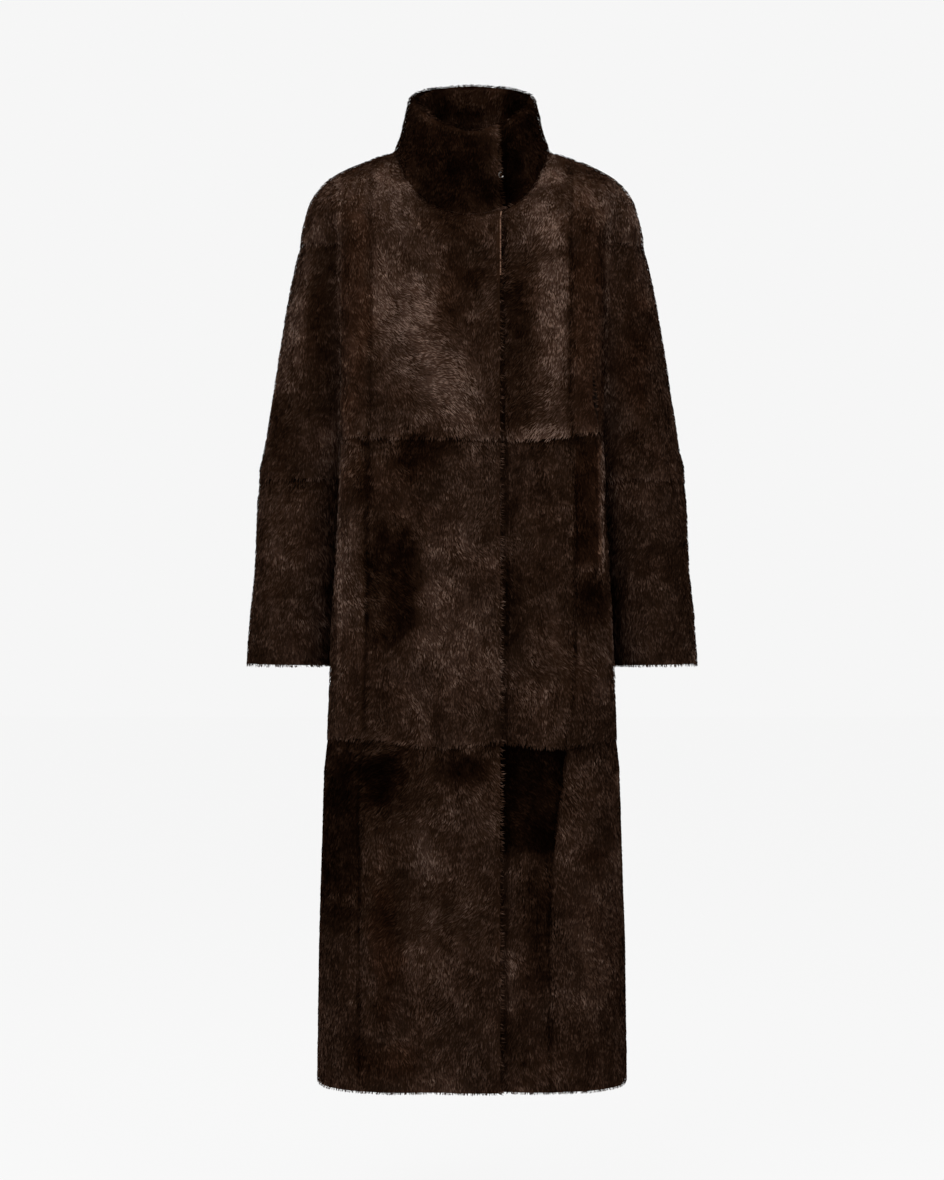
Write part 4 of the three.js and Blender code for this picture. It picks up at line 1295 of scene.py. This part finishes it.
@dataclass
class Studio:
    """Plain pale floor and soft light."""

    floor_z: float = -1.32
    floor_size: float = 30.0

    def build(self) -> None:
        """Makes the floor, the world's light and the lamps."""
        bpy.ops.object.select_all(action="DESELECT")
        bpy.ops.mesh.primitive_plane_add(size=self.floor_size, location=(0, 0, self.floor_z))
        floor = bpy.context.active_object
        floor.name = "floor"
        tree, shader = blank_material("pale_floor")
        shader.inputs["Base Color"].default_value = (0.06, 0.06, 0.06, 1.0)
        shader.inputs["Emission Color"].default_value = (0.86, 0.86, 0.86, 1.0)
        set_values(shader, Roughness=1.0, Emission_Strength=1.0, Specular_IOR_Level=0.0)
        floor.data.materials.append(bpy.data.materials["pale_floor"])
        world = bpy.data.worlds.new("studio")
        world.use_nodes = True
        bpy.context.scene.world = world
        sky = world.node_tree.nodes["Background"]
        sky.inputs["Color"].default_value = (0.922, 0.922, 0.922, 1.0)
        sky.inputs["Strength"].default_value = 1.0
        self.lamp("key_light", (-1.3, -2.6, 1.7), 60.0, 1.8)
        self.lamp("fill_light", (1.9, -2.4, 0.6), 26.0, 2.0)
        self.lamp("top_light", (0.0, 0.4, 2.0), 26.0, 1.6)
        bpy.context.scene.view_settings.view_transform = "Standard"

    def lamp(self, name: str, place: tuple[float, float, float], power: float, size: float) -> None:
        """Makes a square area lamp that looks at the middle of the coat.

        Args:
            name: The lamp's name.
            place: Where it hangs.
            power: Watts.
            size: Side in metres.
        """
        data = bpy.data.lights.new(name, "AREA")
        data.energy, data.size = power, size
        lamp = bpy.data.objects.new(name, data)
        lamp.location = place
        lamp.rotation_euler = (Vector((0, 0, -0.5)) - Vector(place)).to_track_quat("-Z", "Y").to_euler()
        bpy.context.scene.collection.objects.link(lamp)


@dataclass
class Body:
    """The three tiers of the body, five pieces each."""

    parts: int = 2
    cuts: list[Cut] = field(default_factory=lambda: [
        # the upper tier's added tone is painted light falling from above on the shoulders and chest
        Cut("upper_front_right", Side.FRONT, 170, 400, 0.8, 1.0, 0.06),
        Cut("upper_front_left", Side.FRONT, 160, 400, 0.8, 1.0, 0.06),
        Cut("upper_side_right", Side.RIGHT, 150, 370, 0.8, 0.85, 0.03),
        Cut("upper_side_left", Side.LEFT, 150, 370, 0.8, 0.85, 0.03),
        Cut("upper_back", Side.BACK, 520, 420, 0.8, 0.66, 0.03),
        Cut("mid_front_right", Side.FRONT, 170, 375),
        Cut("mid_front_left", Side.FRONT, 160, 375),
        Cut("mid_side_right", Side.RIGHT, 160, 375, dense=0.85),
        Cut("mid_side_left", Side.LEFT, 165, 375, dense=0.85),
        Cut("mid_back", Side.BACK, 560, 370, dense=0.64),
        Cut("low_front_right", Side.FRONT, 180, 430),
        Cut("low_front_left", Side.FRONT, 130, 430),
        Cut("low_side_right", Side.RIGHT, 165, 430, dense=0.85),
        Cut("low_side_left", Side.LEFT, 205, 430, dense=0.85),
        Cut("low_back", Side.BACK, 590, 430, dense=0.64),
    ])

    def build(self, coat: FurCoat) -> None:
        """Makes the body's pieces."""
        for index, cut in enumerate(self.cuts):
            coat.make(cut, self.parts, 100 + index)


@dataclass
class Sleeves:
    """Two sleeves, each of two upper and two lower halves."""

    parts: int = 2
    cuts: list[Cut] = field(default_factory=lambda: [
        Cut(f"{level}_sleeve_{half}_{word}", side, 200, length, 0.9, dense)
        for word in ("right", "left")
        for level, length in (("upper", 290), ("lower", 235))
        for half, side, dense in (("front", Side.FRONT, 0.92), ("back", Side.BACK, 0.68))
    ])

    def build(self, coat: FurCoat) -> None:
        """Makes the sleeves' pieces."""
        for index, cut in enumerate(self.cuts):
            coat.make(cut, self.parts, 200 + index)


@dataclass
class Collar:
    """Standing collar: an outer and an inner layer, furry on both faces."""

    parts: int = 2
    cuts: list[Cut] = field(default_factory=lambda: [
        Cut("collar_outer", Side.OUTWARD, 480, 130, 0.8, 1.15, bulge=1.5),
        Cut("collar_inner", Side.INWARD, 420, 130, 0.8, tone=0.06, bulge=7.0),
    ])

    def build(self, coat: FurCoat) -> None:
        """Makes the collar's layers."""
        for index, cut in enumerate(self.cuts):
            coat.make(cut, self.parts, 300 + index)


class FrontEdge:
    """The raw suede edge that shows along the top of the lapped front."""

    node = "upper_front_right"
    top = -55 * MM
    bottom = -158 * MM
    radius = 0.7 * MM
    past = 0.8 * MM
    below = 2.2 * MM

    def build(self, pattern: Pattern, suede: bpy.types.Material) -> None:
        """Makes the edge as a thin cord of skin along the piece's free edge.

        Args:
            pattern: The faces of all pieces.
            suede: The edge's material.
        """
        face = pattern.faces[self.node]
        spots = []
        for a, b in face.border():
            middle = (face.points[a] + face.points[b]) / 2
            if pattern.sewn(self.node, middle) or not self.bottom < middle[2] < self.top:
                continue
            past = unit(np.cross(face.points[b] - face.points[a], face.normals[a]))
            spots.append(middle + self.past * past - self.below * face.normals[a])
        spots.sort(key=lambda spot: spot[2])
        data = bpy.data.curves.new("suede_edge", "CURVE")
        data.dimensions = "3D"
        data.bevel_depth, data.bevel_resolution, data.use_fill_caps = self.radius, 3, True
        line = data.splines.new("POLY")
        line.points.add(len(spots) - 1)
        for point, spot in zip(line.points, spots):
            point.co = (*spot, 1.0)
        edge = bpy.data.objects.new("suede_edge", data)
        bpy.context.scene.collection.objects.link(edge)
        bpy.ops.object.select_all(action="DESELECT")
        edge.select_set(True)
        bpy.context.view_layer.objects.active = edge
        bpy.ops.object.convert(target="MESH")
        edge = bpy.context.active_object
        edge.data.materials.append(suede)
        bpy.ops.object.shade_smooth_by_angle(angle=math.radians(60))
        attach(edge, "root")
        LOG.info("suede edge: %d points", len(spots))


class Hook:
    """The small metal hook at the collar's end, which keeps its solid's form."""

    node = "collar_hook"

    def build(self, metal: bpy.types.Material) -> None:
        """Gives the hook its metal.

        Args:
            metal: The hook's material.
        """
        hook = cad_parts[self.node]
        hook.data.materials.clear()
        hook.data.materials.append(metal)
        LOG.info("hook: metal set")


def main() -> None:
    """Builds the camera, the light and every piece of the coat."""
    logging.basicConfig(level=logging.INFO, format="%(message)s")
    Camera().build()
    Studio().build()
    tone_to_colour, grain = fur_color_group(), grain_group()
    underfur = UnderfurFinish("underfur").build(tone_to_colour)
    suede = HideFinish("suede_inside", (0.055, 0.03, 0.02), (0.09, 0.052, 0.035)).build(grain)
    body, sleeves, collar = Body(), Sleeves(), Collar()
    pattern = Pattern([(PELT_WALL, body.cuts + sleeves.cuts), (COLLAR_LAYER, collar.cuts)])
    body_fur = FurFinish("body_fur").build(tone_to_colour)
    coat = FurCoat(pattern, body_fur, underfur, suede, Slot.BODY, Pile(), Coloring(tone=0.56))
    body.build(coat)
    sleeves.build(coat)
    collar_fur = FurFinish("collar_fur", roughness=0.5).build(tone_to_colour)
    plush = Pile(depth=2.4, length=6.6, root_lean=50.0, tip_lean=72.0, wander=40.0, rim=15.0,
                 rim_lift=1.0, rim_drop=3.0)
    # the collar's rim gets a strong painted highlight along its roll
    collar.build(FurCoat(pattern, collar_fur, underfur, suede, Slot.COLLAR, plush,
                         Coloring(tone=0.36, red=0.55, rim_highlight=0.20)))
    raw_edge = HideFinish("suede_edge", (0.12, 0.06, 0.038), (0.2, 0.11, 0.07)).build(grain)
    FrontEdge().build(pattern, raw_edge)
    Hook().build(MetalFinish("polished_wire").build(grain))


if __name__ == "__main__":
    main()
